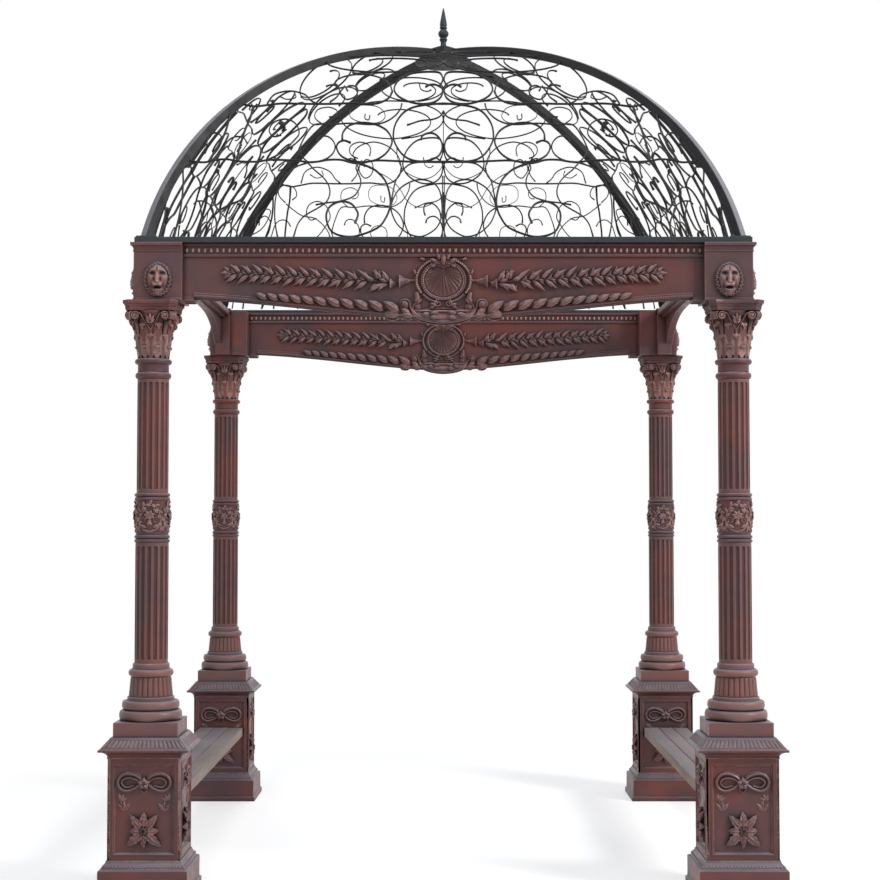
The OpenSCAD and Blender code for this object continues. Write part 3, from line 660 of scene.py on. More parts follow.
def set_around(places, label, kind, metal, *bodies):
    """Makes the pieces of all four corners or sides by quarter turns of the bodies in turn."""
    made = []
    for turns, place in enumerate(places):
        node = f"{kind}_{place}" if places == CORNERS else f"{place}_{kind}"
        made.append(finish_piece(f"{place}_{label}", quarter(bodies[turns % len(bodies)], turns), metal, node))
    return made


def bars(paths, wide, deep):
    """Flat bars along paths, by Geometry Nodes."""
    return grown("bars", lines_mesh(paths), {"Bar width": wide, "Bar depth": deep}, metal="forged")


# ---- Materials ----


def fresh_material(name):
    """A material with one Principled shader: the material, its tree, the shader and object coordinates."""
    material = bpy.data.materials.new(name)
    material.use_nodes = True
    tree = material.node_tree
    shader = tree.nodes["Principled BSDF"]
    place = add_node(tree, "ShaderNodeTexCoord", {}, {}).outputs["Object"]
    return material, tree, shader, place


def share(tree, value, low, high, out_low=0.0, out_high=1.0):
    """A value mapped from one range to another, and clamped."""
    inputs = {"Value": value, "From Min": low, "From Max": high, "To Min": out_low, "To Max": out_high}
    return add_node(tree, "ShaderNodeMapRange", {}, inputs).outputs["Result"]


def blend(tree, factor, a, b):
    """Two colours mixed by a factor."""
    colours = {6: a, 7: b}
    for key, value in colours.items():
        if not isinstance(value, bpy.types.NodeSocket):
            colours[key] = (*value, 1.0)
    node = add_node(tree, "ShaderNodeMix", {"data_type": "RGBA"}, {0: factor, **colours})
    return node.outputs[2]


def noise(tree, place, millimetres, detail=3.0, rough=0.55):
    """Noise whose patches are about this many millimetres across."""
    inputs = {"Vector": place, "Scale": 500.0 / millimetres, "Detail": detail, "Roughness": rough}
    return add_node(tree, "ShaderNodeTexNoise", {}, inputs).outputs["Fac"]


def product(tree, a, b):
    """Two values multiplied."""
    return add_node(tree, "ShaderNodeMath", {"operation": "MULTIPLY"}, {0: a, 1: b}).outputs[0]


def bump(tree, height, strength, millimetres, under=None):
    """A bump from a height, over another bump if one is given."""
    inputs = {"Height": height, "Strength": strength, "Distance": millimetres * MM}
    if under is not None:
        inputs["Normal"] = under
    return add_node(tree, "ShaderNodeBump", {}, inputs).outputs["Normal"]


def patches(tree, place, millimetres, low, high, out_low=0.0, out_high=1.0, detail=3.0):
    """Noise of this size, mapped from one range to another."""
    return share(tree, noise(tree, place, millimetres, detail), low, high, out_low, out_high)


def mark(tree, name):
    """What the mesh says at each point under a name."""
    return add_node(tree, "ShaderNodeAttribute", {"attribute_name": name}, {}).outputs["Fac"]


def facing_up(tree):
    """How far the surface faces up."""
    normal = add_node(tree, "ShaderNodeNewGeometry", {}, {}).outputs["Normal"]
    return add_node(tree, "ShaderNodeSeparateXYZ", {}, {"Vector": normal}).outputs["Z"]


def cast_iron(colours):
    """Sand-cast iron, lacquered red-brown and left outside.

    It gives a satin skin with a fine grain, violet-grey where rain washes it and painted lighter on top as sky
    light, dark in the hollows as dirt and painted shade, and pale on rubbed edges as wear and painted
    highlight.
    """
    material, tree, shader, place = fresh_material("Sand cast iron, lacquered")
    violet = patches(tree, place, 150, 0.36, 0.64, 0.15, 0.85)
    colour = blend(tree, violet, colours.iron_red, colours.iron_violet)
    grime = patches(tree, place, 55, 0.5, 0.8, 0.0, 0.14, 4.0)
    colour = blend(tree, grime, colour, colours.iron_dark_and_shade)
    # The mesh says where the lacquer is rubbed thin, as on the masks, and where dirt stays; the same mark
    # paints highlights on raised ornament and shade on hollows and grounds
    polish_and_painted_light = mark(tree, "polish_and_painted_light")
    colour = blend(tree, share(tree, polish_and_painted_light, 0.0, 1.0, 0.0, 0.85), colour, colours.iron_light_and_highlight)
    # Handling and rain rub the lacquer off edges about 5 mm wide, and the pale edges are also painted
    # highlights where edges catch the light
    inside = add_node(tree, "ShaderNodeAmbientOcclusion", {"samples": 6, "inside": True}, {"Distance": 6 * MM})
    edges = share(tree, inside.outputs["AO"], 0.25, 0.85, 0.75, 0.0)
    wear_and_highlight = product(tree, edges, patches(tree, place, 18, 0.35, 0.6, 0.3, 1.0))
    colour = blend(tree, wear_and_highlight, colour, colours.iron_light_and_highlight)
    # Rain washes what faces up, and what faces up is painted lighter as sky light falls on it
    washed_and_skylit = blend(tree, 0.5, colours.iron_violet, hex_colour("#999BA9"))
    colour = blend(tree, share(tree, facing_up(tree), 0.25, 0.8, 0.0, 0.8), colour, washed_and_skylit)
    # Hollows up to about 25 mm across are darkened: painted shade, with the dirt that gathers there
    hollow = add_node(tree, "ShaderNodeAmbientOcclusion", {"samples": 6}, {"Distance": 30 * MM})
    dirt_and_shade = share(tree, hollow.outputs["AO"], 0.3, 0.95, 0.92, 0.0)
    colour = blend(tree, dirt_and_shade, colour, colours.iron_dark_and_shade)
    # Painted shade: marks under 0 darken hollows and grounds towards the recess colour, with dirt
    colour = blend(tree, share(tree, polish_and_painted_light, -1.0, 0.0, 1.0, 0.0), colour, colours.iron_dark_and_shade)
    # The real grain is about 0.4 mm; it is drawn at 3 mm so that it shows
    waves = bump(tree, noise(tree, place, 34, 2.0), 0.35, 1.6)
    grain = bump(tree, noise(tree, place, 3.0, 2.0), 0.25, 0.35, waves)
    # The lacquer keeps a soft gloss
    gloss = patches(tree, place, 25, 0.3, 0.7, 0.34, 0.5)
    feed(tree, shader, {"Base Color": colour, "Roughness": gloss, "Normal": grain, "Specular IOR Level": 0.25})
    return material


def forged_iron(colours):
    """Wrought iron, forged by hand and painted black: hammer marks under a dull paint, with a little rust.

    The faces marked outer are the ribs' backs, which are blended to a pale grey.
    """
    material, tree, shader, place = fresh_material("Forged iron, black paint")
    pale = tuple(c * 1.9 for c in colours.forged)
    colour = blend(tree, patches(tree, place, 160, 0.4, 0.65, 0.0, 0.5), colours.forged, pale)
    rust = patches(tree, place, 28, 0.62, 0.75, 0.0, 0.5, 5.0)
    colour = blend(tree, rust, colour, hex_colour("#4A342A"))
    outer_grey = product(tree, mark(tree, "outer"), patches(tree, place, 60, 0.3, 0.6, 0.72, 1.0, 4.0))
    colour = blend(tree, outer_grey, colour, colours.rib_face)
    gloss = patches(tree, place, 30, 0.3, 0.7, 0.42, 0.66)
    hammer = bump(tree, noise(tree, place, 14, 1.0), 0.4, 0.9)
    feed(tree, shader, {"Base Color": colour, "Roughness": gloss, "Normal": hammer, "Specular IOR Level": 0.3})
    return material


def painted_steel(colours):
    """Rolled steel flats under a blue-grey oil paint: smooth and even, with dust on top and small chips."""
    material, tree, shader, place = fresh_material("Rolled steel, blue-grey paint")
    pale = tuple(c * 1.5 for c in colours.steel)
    colour = blend(tree, patches(tree, place, 240, 0.35, 0.65, 0.0, 0.6), colours.steel, pale)
    level = share(tree, facing_up(tree), 0.5, 0.95)
    dust = product(tree, level, patches(tree, place, 50, 0.4, 0.7, 0.1, 0.6, 4.0))
    colour = blend(tree, dust, colour, hex_colour("#8C8F8F"))
    chips = patches(tree, place, 12, 0.7, 0.74, 0.0, 0.8)
    colour = blend(tree, chips, colour, hex_colour("#3A2B26"))
    gloss = patches(tree, place, 40, 0.3, 0.7, 0.4, 0.58)
    coat = bump(tree, noise(tree, place, 20, 2.0), 0.2, 0.4)
    feed(tree, shader, {"Base Color": colour, "Roughness": gloss, "Normal": coat, "Specular IOR Level": 0.3})
    return material


def weathered_timber(colours):
    """Sawn softwood planks, bare and weathered.

    It gives dull taupe-grey faces with grain along the plank and dark checks, and grey tops that carry a
    painted sky sheen.
    """
    material, tree, shader, place = fresh_material("Sawn softwood, weathered")
    board = mark(tree, "board")
    offset = add_node(tree, "ShaderNodeCombineXYZ", {}, {"X": board, "Y": board, "Z": board}).outputs["Vector"]
    shifted = add_node(tree, "ShaderNodeVectorMath", {"operation": "ADD"}, {0: place, 1: offset})
    shifted = shifted.outputs["Vector"]
    inputs = {"Vector": shifted, "Scale": (1.0, 0.045, 1.0)}
    along = add_node(tree, "ShaderNodeMapping", {}, inputs).outputs["Vector"]
    dark = tuple(c * 0.5 for c in colours.timber_top_and_sheen)
    pale = tuple(min(1.0, c * 1.3) for c in colours.timber)
    # Growth rings 4 to 8 mm apart on the face
    rings = noise(tree, along, 14, 4.0, 0.65)
    colour = blend(tree, share(tree, rings, 0.36, 0.66), pale, colours.timber)
    # What faces up is rain-washed grey, with a painted bluish sky sheen
    colour = blend(tree, share(tree, facing_up(tree), 0.4, 0.9, 0.0, 0.85), colour, colours.timber_top_and_sheen)
    colour = blend(tree, share(tree, rings, 0.55, 0.72, 0.0, 0.55), colour, dark)
    colour = blend(tree, patches(tree, shifted, 240, 0.4, 0.66, 0.0, 0.45), colour, dark)
    # Each board has its own tone
    tone = add_node(tree, "ShaderNodeMath", {"operation": "FRACT"}, {0: product(tree, board, 7.31)}).outputs[0]
    colour = blend(tree, share(tree, tone, 0.0, 1.0, 0.0, 0.3), colour, pale)
    checks = patches(tree, along, 5, 0.68, 0.74, 0.0, 0.8)
    colour = blend(tree, checks, colour, hex_colour("#2F2924"))
    grain = bump(tree, rings, 0.45, 1.0)
    feed(tree, shader, {"Base Color": colour, "Roughness": 0.78, "Normal": grain, "Specular IOR Level": 0.3})
    return material


# ---- Pedestals and columns, each drawn about a Z axis and then set at its corner ----


def mark_points(piece, name, values):
    """Gives each point of a piece a value that its material reads."""
    piece.data.attributes.new(name, "FLOAT", "POINT").data.foreach_set("value", values)


def column_place():
    """The move that sets a column piece, drawn about the Z axis, at the front left column."""
    low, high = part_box(f"column_base_{CORNERS[0]}")
    return at((low.x + high.x) / 2, (low.y + high.y) / 2, 0)


def levels(node):
    """Lowest and highest level of a node."""
    low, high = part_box(node)
    return low.z, high.z


def bow():
    """The ribbon bow of a pedestal panel, about its knot, in the plane of the panel."""
    loop = mm(
        (5, 5), (30, 30), (66, 42), (98, 34), (114, 8), (104, -20), (76, -32), (44, -22), (18, -6), (5, -2),
    )
    inner = mm((14, 6), (40, 20), (66, 25), (88, 18), (96, 4), (88, -10), (70, -16), (44, -8))
    crest = mm((8, 10), (22, 36), (46, 48), (74, 50), (92, 42))
    ring = np.arange(20) * 2 * math.pi / 20
    pendant = np.stack([12 * MM * np.cos(ring), 12 * MM * np.sin(ring) - 26 * MM], -1)
    return joined(
        ribbon_pair(smooth_path(loop), 16, 16, 13, 8),
        ribbon_pair(smooth_path(inner), 7, 7, 15),
        ribbon_pair(smooth_path(crest), 9, 4, 7, 6),
        ribbon(pendant, 5 * MM, 7 * MM, 6, ends="join"),
    )


def panel_relief(s):
    """The ornament of one panel: a bow above, leaf sprigs beside, an acanthus rosette below."""
    # Each large petal's heading, length and width
    petals = (
        (0, 62, 42), (49, 90, 36), (90, 80, 40), (131, 90, 36), (180, 62, 42), (222, 98, 42), (270, 78, 26),
        (318, 98, 42),
    )
    places = [((0, 0, 2.5 * MM), (0, 0, turn), (long / 100, wide / 52, 1)) for turn, long, wide in petals]
    places += [((0, 0, 0), (0, 0, turn + 22.5), (0.46, 0.34, 0.7)) for turn, _, _ in petals]
    places += [((0, 0, 11 * MM), (0, -14, 45 * i), (0.24, 0.2, 0.8)) for i in range(8)]
    acanthus = leaf(*LEAF_SIZE[:2], 12 * MM, lobes=4, rows=18, half=4, lift=8 * MM, cup=0.5)
    boss = lathe(mm((9, 0), (9, 16), (7, 20), (4, 22), (1, 23)), 14)
    eighths = np.arange(8) * math.pi / 4
    stamens = [((8 * MM * math.cos(a), 8 * MM * math.sin(a), 19 * MM), (0, 0, 0), 1) for a in eighths]
    rosette = joined(copies(acanthus, places, polish_and_painted_light=0.22), boss, copies(ball(3.5 * MM, 8, 5), stamens))
    knot = [((0, 0, 6 * MM), (0, -12, 18 + 72 * i), (0.29, 0.44, 1.3)) for i in range(5)]
    centre = moved(ball(9 * MM), at(0, 0, 8 * MM))
    ribbons = joined(with_polish_and_painted_light(bow(), 0.18), leaves(knot, 7, 6), centre)
    sprigs = []
    for side in (1, -1):
        for turn in (50, 90, 130):
            sprigs.append(((side * 88 * MM, 178 * MM, 0), (0, 0, turn), (0.4, 0.34, 0.7)))
            sprigs.append(((side * 104 * MM, 222 * MM, 0), (0, 0, turn + side * 30), (0.3, 0.28, 0.6)))
        sprigs.append(((side * 88 * MM, 182 * MM, 0), (0, 0, 90 - side * 22), (0.62, 0.12, 0.6)))
    # The rosette and bow are painted lighter as rubbed lacquer and painted highlight, and the sprigs darker as
    # dirt and painted shade
    return joined(
        moved(rosette, at(0, s.rosette_height, 0)),
        moved(ribbons, at(0, s.bow_height, 0)),
        leaves(sprigs, 7, polish_and_painted_light=-0.12),
    )


def pedestal_body(s):
    """One pedestal: foot, band, beaded slope, panelled die, cove and reeded cap."""
    low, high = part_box("pedestal_front_left")
    foot, top = (high.x - low.x) / 2, high.z
    band, die, cap = s.band_width / 2, s.die_width / 2, s.cap_width / 2
    courses = [s.foot_height, s.band_height, s.slope_height, s.die_height, s.cove_height, s.lip_height]
    z1, z2, z3, z4, z5, z6 = np.cumsum(courses).tolist()
    e = 2 * MM
    stack = [(foot, 0), (foot, z1 - 2 * e), (foot - e, z1 - e / 2), (foot - 2 * e, z1), (band, z1 + e)]
    stack += [(band, z2 - 3 * e), (band - e, z2 - 2 * e), (band - 4 * e, z2 - e)]
    step = (band - 10 * MM + die) / 2
    slope = [(band - 12 * MM, z2 - e), (band - 14 * MM, z2), (step + e, z2 + 0.48 * s.slope_height)]
    slope += [(step, z2 + 0.52 * s.slope_height), (die + 3 * MM, z3 - 3 * MM), (die, z3 - e)]
    bead = [(die + out * MM, z3 + up * MM) for out, up in ((-6, -8), (4, -8), (6, -4), (4, 0), (-6, 0))]
    core = [(die - s.panel_depth, z3 - e), (die - s.panel_depth, z4 + e)]
    cove = [(die - 6 * MM, z4 - e), (die + 3 * MM, z4 - e), (die + 3 * MM, z4 + 2 * e)]
    for t in np.radians(np.arange(15, 91, 12.5)):
        cove.append((die + (cap - die) * (1 - math.cos(t)), z4 + s.cove_height * math.sin(t)))
    cove += [(cap - e / 2, z5), (cap, z5 + e / 2), (cap, z6 - e), (cap - e, z6 - e / 2), (cap - 8 * MM, z6)]

    def on_slope(part, out):
        edge = cap - 5 * MM
        return edge + (s.cap_top_width / 2 - edge) * part + out * MM, z6 - e + (top - z6 + e) * part

    # Reeds run over the middle of the cap's slope, between a lip and a plain strip
    shell = [on_slope(*spot) for spot in ((0, 0), (0.16, 0), (0.17, -3), (0.76, -3), (0.77, 0), (1, 0))]
    reeds = reeded_slope(*on_slope(0.15, 1), *on_slope(0.78, 1), s.cap_reeds, 4.5 * MM)
    parts = [square_rings(profile) for profile in (stack, slope, bead, core, cove)]
    # The reeded slope is painted darker: painted shade in the reeds' grooves, with dirt
    parts.append(with_polish_and_painted_light(joined(square_rings(shell), reeds), -0.22))
    inset = (s.die_width - s.panel_width) / 2 / MM
    deep = s.panel_depth / MM
    moulding = mm(
        (0, -2), (0, deep), (inset - 11, deep), (inset - 10, deep + 2), (inset - 6, deep + 3),
        (inset - 3, deep + 1), (inset - 1, 4), (inset + 1, 3), (inset + 3, -2),
    )
    floor_y = s.panel_depth - die
    middle = (z3 + z4) / 2
    rim = (band - 14 * MM + step) / 2
    bead_z = z2 + 0.26 * s.slope_height
    side = joined(
        moved(picture_frame(s.die_width, z4 - z3, moulding), on_wall(0, floor_y, middle)),
        moved(panel_relief(s), on_wall(0, floor_y, middle - s.panel_height / 2)),
        bead_rows([[(-rim, -rim, bead_z), (rim, -rim, bead_z)]], s.bead_spacing, 10 * MM),
    )
    return joined(*parts, *[quarter(side, turn) for turn in range(4)])


def half_round(radius, low, high, steps=7, deep=1.0):
    """Profile points of a round-edged ring. deep below 1 flattens it."""
    r = (high - low) / 2
    a = np.linspace(-math.pi / 2, math.pi / 2, steps)
    return [(radius + deep * r * (math.cos(t) - 1), (low + high) / 2 + r * math.sin(t)) for t in a]


def column_base_body(s):
    """One column base: square plinth, two tori, ring, fluted bell, torus and ring."""
    z0, z7 = levels("column_base_front_left")
    courses = [s.plinth_height, 44 * MM, 42 * MM, 18 * MM, 86 * MM, 36 * MM]
    z1, z2, z3, z4, z5, z6 = z0 + np.cumsum(courses)
    half = s.plinth_width / 2
    e = 1.5 * MM
    plinth = [(half - e, z0), (half, z0 + e), (half, z1 - 2 * e), (half - e, z1 - e / 2), (half - 3 * e, z1)]
    low_rings = half_round(138.5 * MM, z1 - e, z2, 9, 0.45) + [(122 * MM, z2 + e), (118 * MM, z2 + 2 * e)]
    low_rings += half_round(126.5 * MM, z2 + 2 * e, z3, 9, 0.45) + [(106 * MM, z3 + e), (106 * MM, z3 + 4 * MM)]
    low_rings += [(103.5 * MM, z3 + 5 * MM), (103.5 * MM, z4 - 3 * MM), (100 * MM, z4)]

    def gadroons(angles, height):
        t = (height - z4) / (z5 - z4)
        end = min(1.0, min(t + 0.02, 1.02 - t) / 0.16)
        wave = np.sqrt(np.abs(np.sin(12 * angles)))
        return -5.5 * MM * (1 - wave * math.sqrt(max(0.0, 1 - (1 - end) ** 2)))

    shares = (-0.01, 0.03, 0.08, 0.16, 0.35, 0.55, 0.75, 0.86, 0.93, 0.97, 1.01)
    bell = [(98.5 * MM - 9 * MM * max(0.0, t) ** 0.7, z4 + (z5 - z4) * t) for t in shares]
    top_rings = half_round(99.5 * MM, z5, z6) + [(84 * MM, z6 + e), (81.5 * MM, z6 + 3 * MM)]
    top_rings += [(81.5 * MM, z7 - 6 * MM), (79 * MM, z7 - 3 * MM), (76 * MM, z7)]
    # The rings are painted lighter than the plinth: painted highlights on the tori, with rubbed lacquer
    return joined(
        with_polish_and_painted_light(square_rings(plinth), 0.15),
        with_polish_and_painted_light(lathe(low_rings, 64), 0.42),
        with_polish_and_painted_light(lathe(bell, 192, gadroons), 0.25),
        with_polish_and_painted_light(lathe(top_rings, 64), 0.35),
    )


def shaft_body(s, node, radius):
    """One fluted shaft between two levels, with its flutes round at both ends."""
    low, high = levels(node)
    pitch = 2 * math.pi / s.flutes
    half = s.flute_half / radius
    q = np.array([-1.0, -0.9, -0.7, -0.4, 0.0, 0.4, 0.7, 0.9, 1.0])
    offsets = np.concatenate([q * half, [pitch / 2]])
    angles = np.concatenate([k * pitch + offsets for k in range(s.flutes)])
    shares = np.tile(np.concatenate([q, [2.0]]), s.flutes)
    start, end = low + 14 * MM, high - 14 * MM

    def flute(_, height):
        inside = min(height - start, end - height)
        if inside <= 0:
            return np.zeros(len(shares))
        narrow = math.sqrt(max(1e-6, 1 - max(0.0, 1 - inside / s.flute_half) ** 2))
        across = np.clip(np.abs(shares) / narrow, 0, 1)
        return -6.5 * MM * np.sqrt(1 - across**2) * min(1.0, narrow + 0.15)

    near = (0.3, 1.2, 2.6, 4.6, 7, 9.5)
    heights = [low, start - 0.2 * MM] + [start + d * MM for d in near]
    heights += list(np.linspace(start + 20 * MM, end - 20 * MM, 5))
    heights += [end - d * MM for d in near[::-1]] + [end + 0.2 * MM, high]
    return lathe([(radius, z) for z in heights], 0, flute, angles)


def wrapped(body, radius):
    """A relief drawn flat, as X around and Y up, wrapped on a drum about the Z axis and facing -Y at X = 0."""
    points = body[0]
    angle = points[:, 0] / radius
    r = radius + points[:, 2]
    return (np.stack([r * np.sin(angle), -r * np.cos(angle), points[:, 1]], -1), *body[1:])


def collar_body(s):
    """One collar: a drum between pairs of rings, with leafy arches, flowers and swags around it."""
    low, high = levels("collar_front_left")
    h = s.ring_height
    waist = s.drum_radius - 1 * MM
    middle = [(waist, low + 2 * h), (s.drum_radius, (low + high) / 2), (waist, high - 2 * h)]
    profile = [(s.upper_radius, low)]
    for foot, above in ((low, middle), (high - 2 * h, [(s.upper_radius - 1 * MM, high)])):
        for ring in (foot, foot + h):
            profile += half_round(s.ring_radius, ring, ring + h, 6)
        profile += above
    tall = high - low - 4 * h
    arch = mm((-46, 12), (-50, 62), (-40, 104), (-16, 132), (16, 132), (40, 104), (50, 62), (46, 12))
    arch = smooth_path(arch, 5)
    swag = smooth_path(mm((-52, 50), (-30, 24), (0, 12), (30, 24), (52, 50)), 6)
    curl = spiral(17 * MM, 1.4, 200, -1) + np.array([-30, 62]) * MM
    spots = []
    for i in range(1, len(arch) - 1, 2):
        out = 1 if i % 4 == 1 else -1
        heading = math.degrees(math.atan2(*(arch[i + 1] - arch[i - 1])[::-1]))
        spots.append(((*arch[i], 1 * MM), (0, 0, heading + out * 42), (0.24, 0.24, 0.5)))
    for k in range(7):
        spots.append(((0, 84 * MM, 2 * MM), (0, -10, 20 + k * 360 / 7), (0.24, 0.28, 0.6)))
    for x, y, turn in (
        (-8, 40, 60), (8, 40, 120), (-16, 30, 150), (16, 30, 30), (0, 44, 90),
        (-44, 30, 100), (44, 30, 80), (-14, 112, 215), (14, 112, 325),
    ):
        spots.append(((x * MM, y * MM, 1 * MM), (0, 0, turn), (0.3, 0.26, 0.55)))
    relief = joined(
        ribbon(arch, 8 * MM, 4.5 * MM, 6),
        ribbon(swag, np.linspace(8, 13, len(swag)) * MM, 4.5 * MM, 6),
        ribbon_pair(curl, 6, 3, 4),
        leaves(spots, 7, 5),
        moved(ball(6 * MM, 8, 5), at(0, 84 * MM, 5 * MM)),
    )
    band = wrapped(moved(relief, at(0, low + 2 * h + (tall - 146 * MM) / 2, 0)), s.drum_radius)
    return joined(lathe(profile, 56), *[quarter(band, turn) for turn in range(4)])


def abacus_loop(wide, hollow, height):
    """One level of the abacus: four hollowed sides with cut corners."""
    reach = wide / 2 - 0.12 * wide
    x = np.linspace(-reach, reach, 9)
    return four_sides(x, hollow * np.cos(x / reach * math.pi / 2) ** 0.9 - wide / 2, height)


def capital_leaves(s, bell_radius, bell_z):
    """Three rings of leaves, each with small curls at its tips: leaflets, broad leaves and tall ones."""
    step = 360 / s.capital_leaves
    parts = []
    for tall, out, wide, shift in ((0.26, 10, 44, 0.5), (0.52, 9, 54, 0.0), (0.78, 9, 50, 0.5)):
        high, reach = tall * s.bell_height, out * MM
        spine = [(bell_radius(high * t) + 2 * MM, high * t) for t in np.linspace(0, 0.78, 7)]
        r, z = spine[-1]
        spine += [(r + reach * x, z + high * y) for x, y in ((0.30, 0.12), (0.72, 0.17), (1, 0.10), (0.98, 0))]
        shape = leaf(1, wide * MM, 8 * MM, lobes=5, spine=spine, rows=22, half=4, cup=0.7)
        spots = [((0, 0, bell_z), (0, 0, step * (k + shift)), 1) for k in range(s.capital_leaves)]
        parts.append(copies(shape, spots, polish_and_painted_light=0.08))
        tip_z = tall * 0.9 * s.bell_height
        tip_r = bell_radius(tip_z) + 0.8 * out * MM
        curls = []
        for k in range(s.capital_leaves):
            for side in (-1, 0, 1):
                turn = step * (k + shift) + side * 0.16 * wide
                a = math.radians(turn)
                curls.append(((tip_r * math.cos(a), tip_r * math.sin(a), bell_z + tip_z), (0, 0, turn), 1))
        # The curls are painted bright: painted glints at the leaf tips
        parts.append(copies(ball(4.5 * MM, 8, 5), curls, polish_and_painted_light=0.45))
    return joined(*parts)


def corner_scroll(r):
    """A ribbon rolled up under a corner of the abacus, with a drop, in the XZ plane about its eye."""
    stem = smooth_path([*mm((-44, -96), (-38, -56), (-24, -14)), (-10 * MM, r * 0.8), (0, r)], 5)
    coil = np.vstack([stem[:-1], spiral(r, 1.9, 90, -1, 0.16)])
    rows = []
    for k, (x, z) in enumerate(coil):
        before, after = coil[max(0, k - 1)], coil[min(len(coil) - 1, k + 1)]
        tangent = (after - before) / max(1e-9, np.linalg.norm(after - before))
        n = np.array([-tangent[1], tangent[0]]) * 3.2 * MM
        w = 16 * MM if k >= len(stem) else (8 + 8 * k / len(stem)) * MM
        edges = ((1, 1), (0.3, 0), (1, -1), (-1, -1), (-1, 1))
        rows.append([(x + a * n[0], b * w, z + a * n[1]) for a, b in edges])
    drop = lathe(mm((2, -24), (9, -17), (11, -8), (8, 4), (4, 12)), 10)
    return joined(skin(rows), moved(drop, at(-6 * MM, 0, -r - 4 * MM)))


def capital_face(s, r):
    """What one face of a capital bears: two flat scrolls in a V to a drop, and a fan of leaves between."""
    eye_x, eye_y, eye_z = 0.27 * s.abacus_width, -r - 2 * MM, 4 * MM
    fan = ((90, 0.44), (62, 0.38), (118, 0.38), (40, 0.26), (140, 0.26))
    parts = [leaves([((0, -54 * MM, -12 * MM), (0, -20, turn), (long, 0.3, 1.0)) for turn, long in fan], 7, 6)]
    curl = [(eye_x + x, eye_y + y, eye_z) for x, y in spiral(r * 0.86, 1.7, 140, -1, 0.2)]
    arm = mm((0, -84, -20), (9, -70, -17), (26, -44, -9), (42, -16, -1)) + curl[:1]
    disc = ((0.9, -30), (0.9, 1), (0.3, 1), (0.28, 5), (0.1, 6))
    disc = lathe([(part * r, out * MM) for part, out in disc], 18)
    for side in (1, -1):
        path = np.vstack([smooth_path(arm, 5)[:-1], curl]) * (side, 1, 1)
        parts.append(ribbon(path, np.linspace(6, 6.5, len(path)) * MM, 6 * MM, 6))
        parts.append(moved(disc, at(side * eye_x, eye_y, eye_z)))
    husk = lathe(mm((3, -18), (7, -11), (8, -2), (4, 5), (6, 9), (3, 13)), 10)
    parts.append(moved(moved(husk, turned(-90, "X")), at(0, -96 * MM, -22 * MM)))
    return joined(*parts)


def capital_body(s):
    """One capital: rings, bell, three rings of acanthus, stems and scrolls under a hollow-sided abacus."""
    z0, z1 = levels("capital_front_left")
    abacus_z = z1 - s.abacus_height
    bell_z = abacus_z - s.bell_height

    def bell_radius(height):
        t = min(1.0, max(0.0, height / s.bell_height))
        return s.bell_low + (s.bell_high - s.bell_low) * t**1.5

    neck = [(s.upper_radius - 1 * MM, z0)] + half_round(80 * MM, z0, z0 + 34 * MM)
    neck += [(69 * MM, z0 + 35 * MM), (69 * MM, z0 + 66 * MM)]
    neck += half_round(82.5 * MM, z0 + 67 * MM, bell_z) + [(s.bell_low, bell_z)]
    rises = s.bell_height * np.linspace(0, 1, 9)[1:]
    parts = [lathe(neck + [(bell_radius(rise), bell_z + rise) for rise in rises], 48)]
    parts.append(capital_leaves(s, bell_radius, bell_z))
    r = s.volute_radius
    corner = moved(corner_scroll(r), at(0.585 * s.abacus_width - r, 0, abacus_z - r - 1 * MM))
    face = moved(capital_face(s, r), on_wall(0, -(s.bell_high + 1 * MM), abacus_z))
    for k in range(4):
        parts.append(moved(corner, turned(45 + 90 * k)))
        parts.append(quarter(face, k))
    # The abacus, as how far out in millimetres and how high of its height
    h = s.abacus_height / MM
    edge = ((-15, 0), (-12, 2), (-9, 0.34 * h), (-11, 0.38 * h), (-8, 0.44 * h))
    edge += ((-5, 0.62 * h), (-1, 0.66 * h), (0, 0.7 * h), (0, h - 1), (-1, h))
    rows = [abacus_loop(s.abacus_width + 2 * out * MM, s.abacus_hollow, abacus_z + up * MM) for out, up in edge]
    return joined(*parts, skin(rows))


# ---- Corner blocks and beams ----


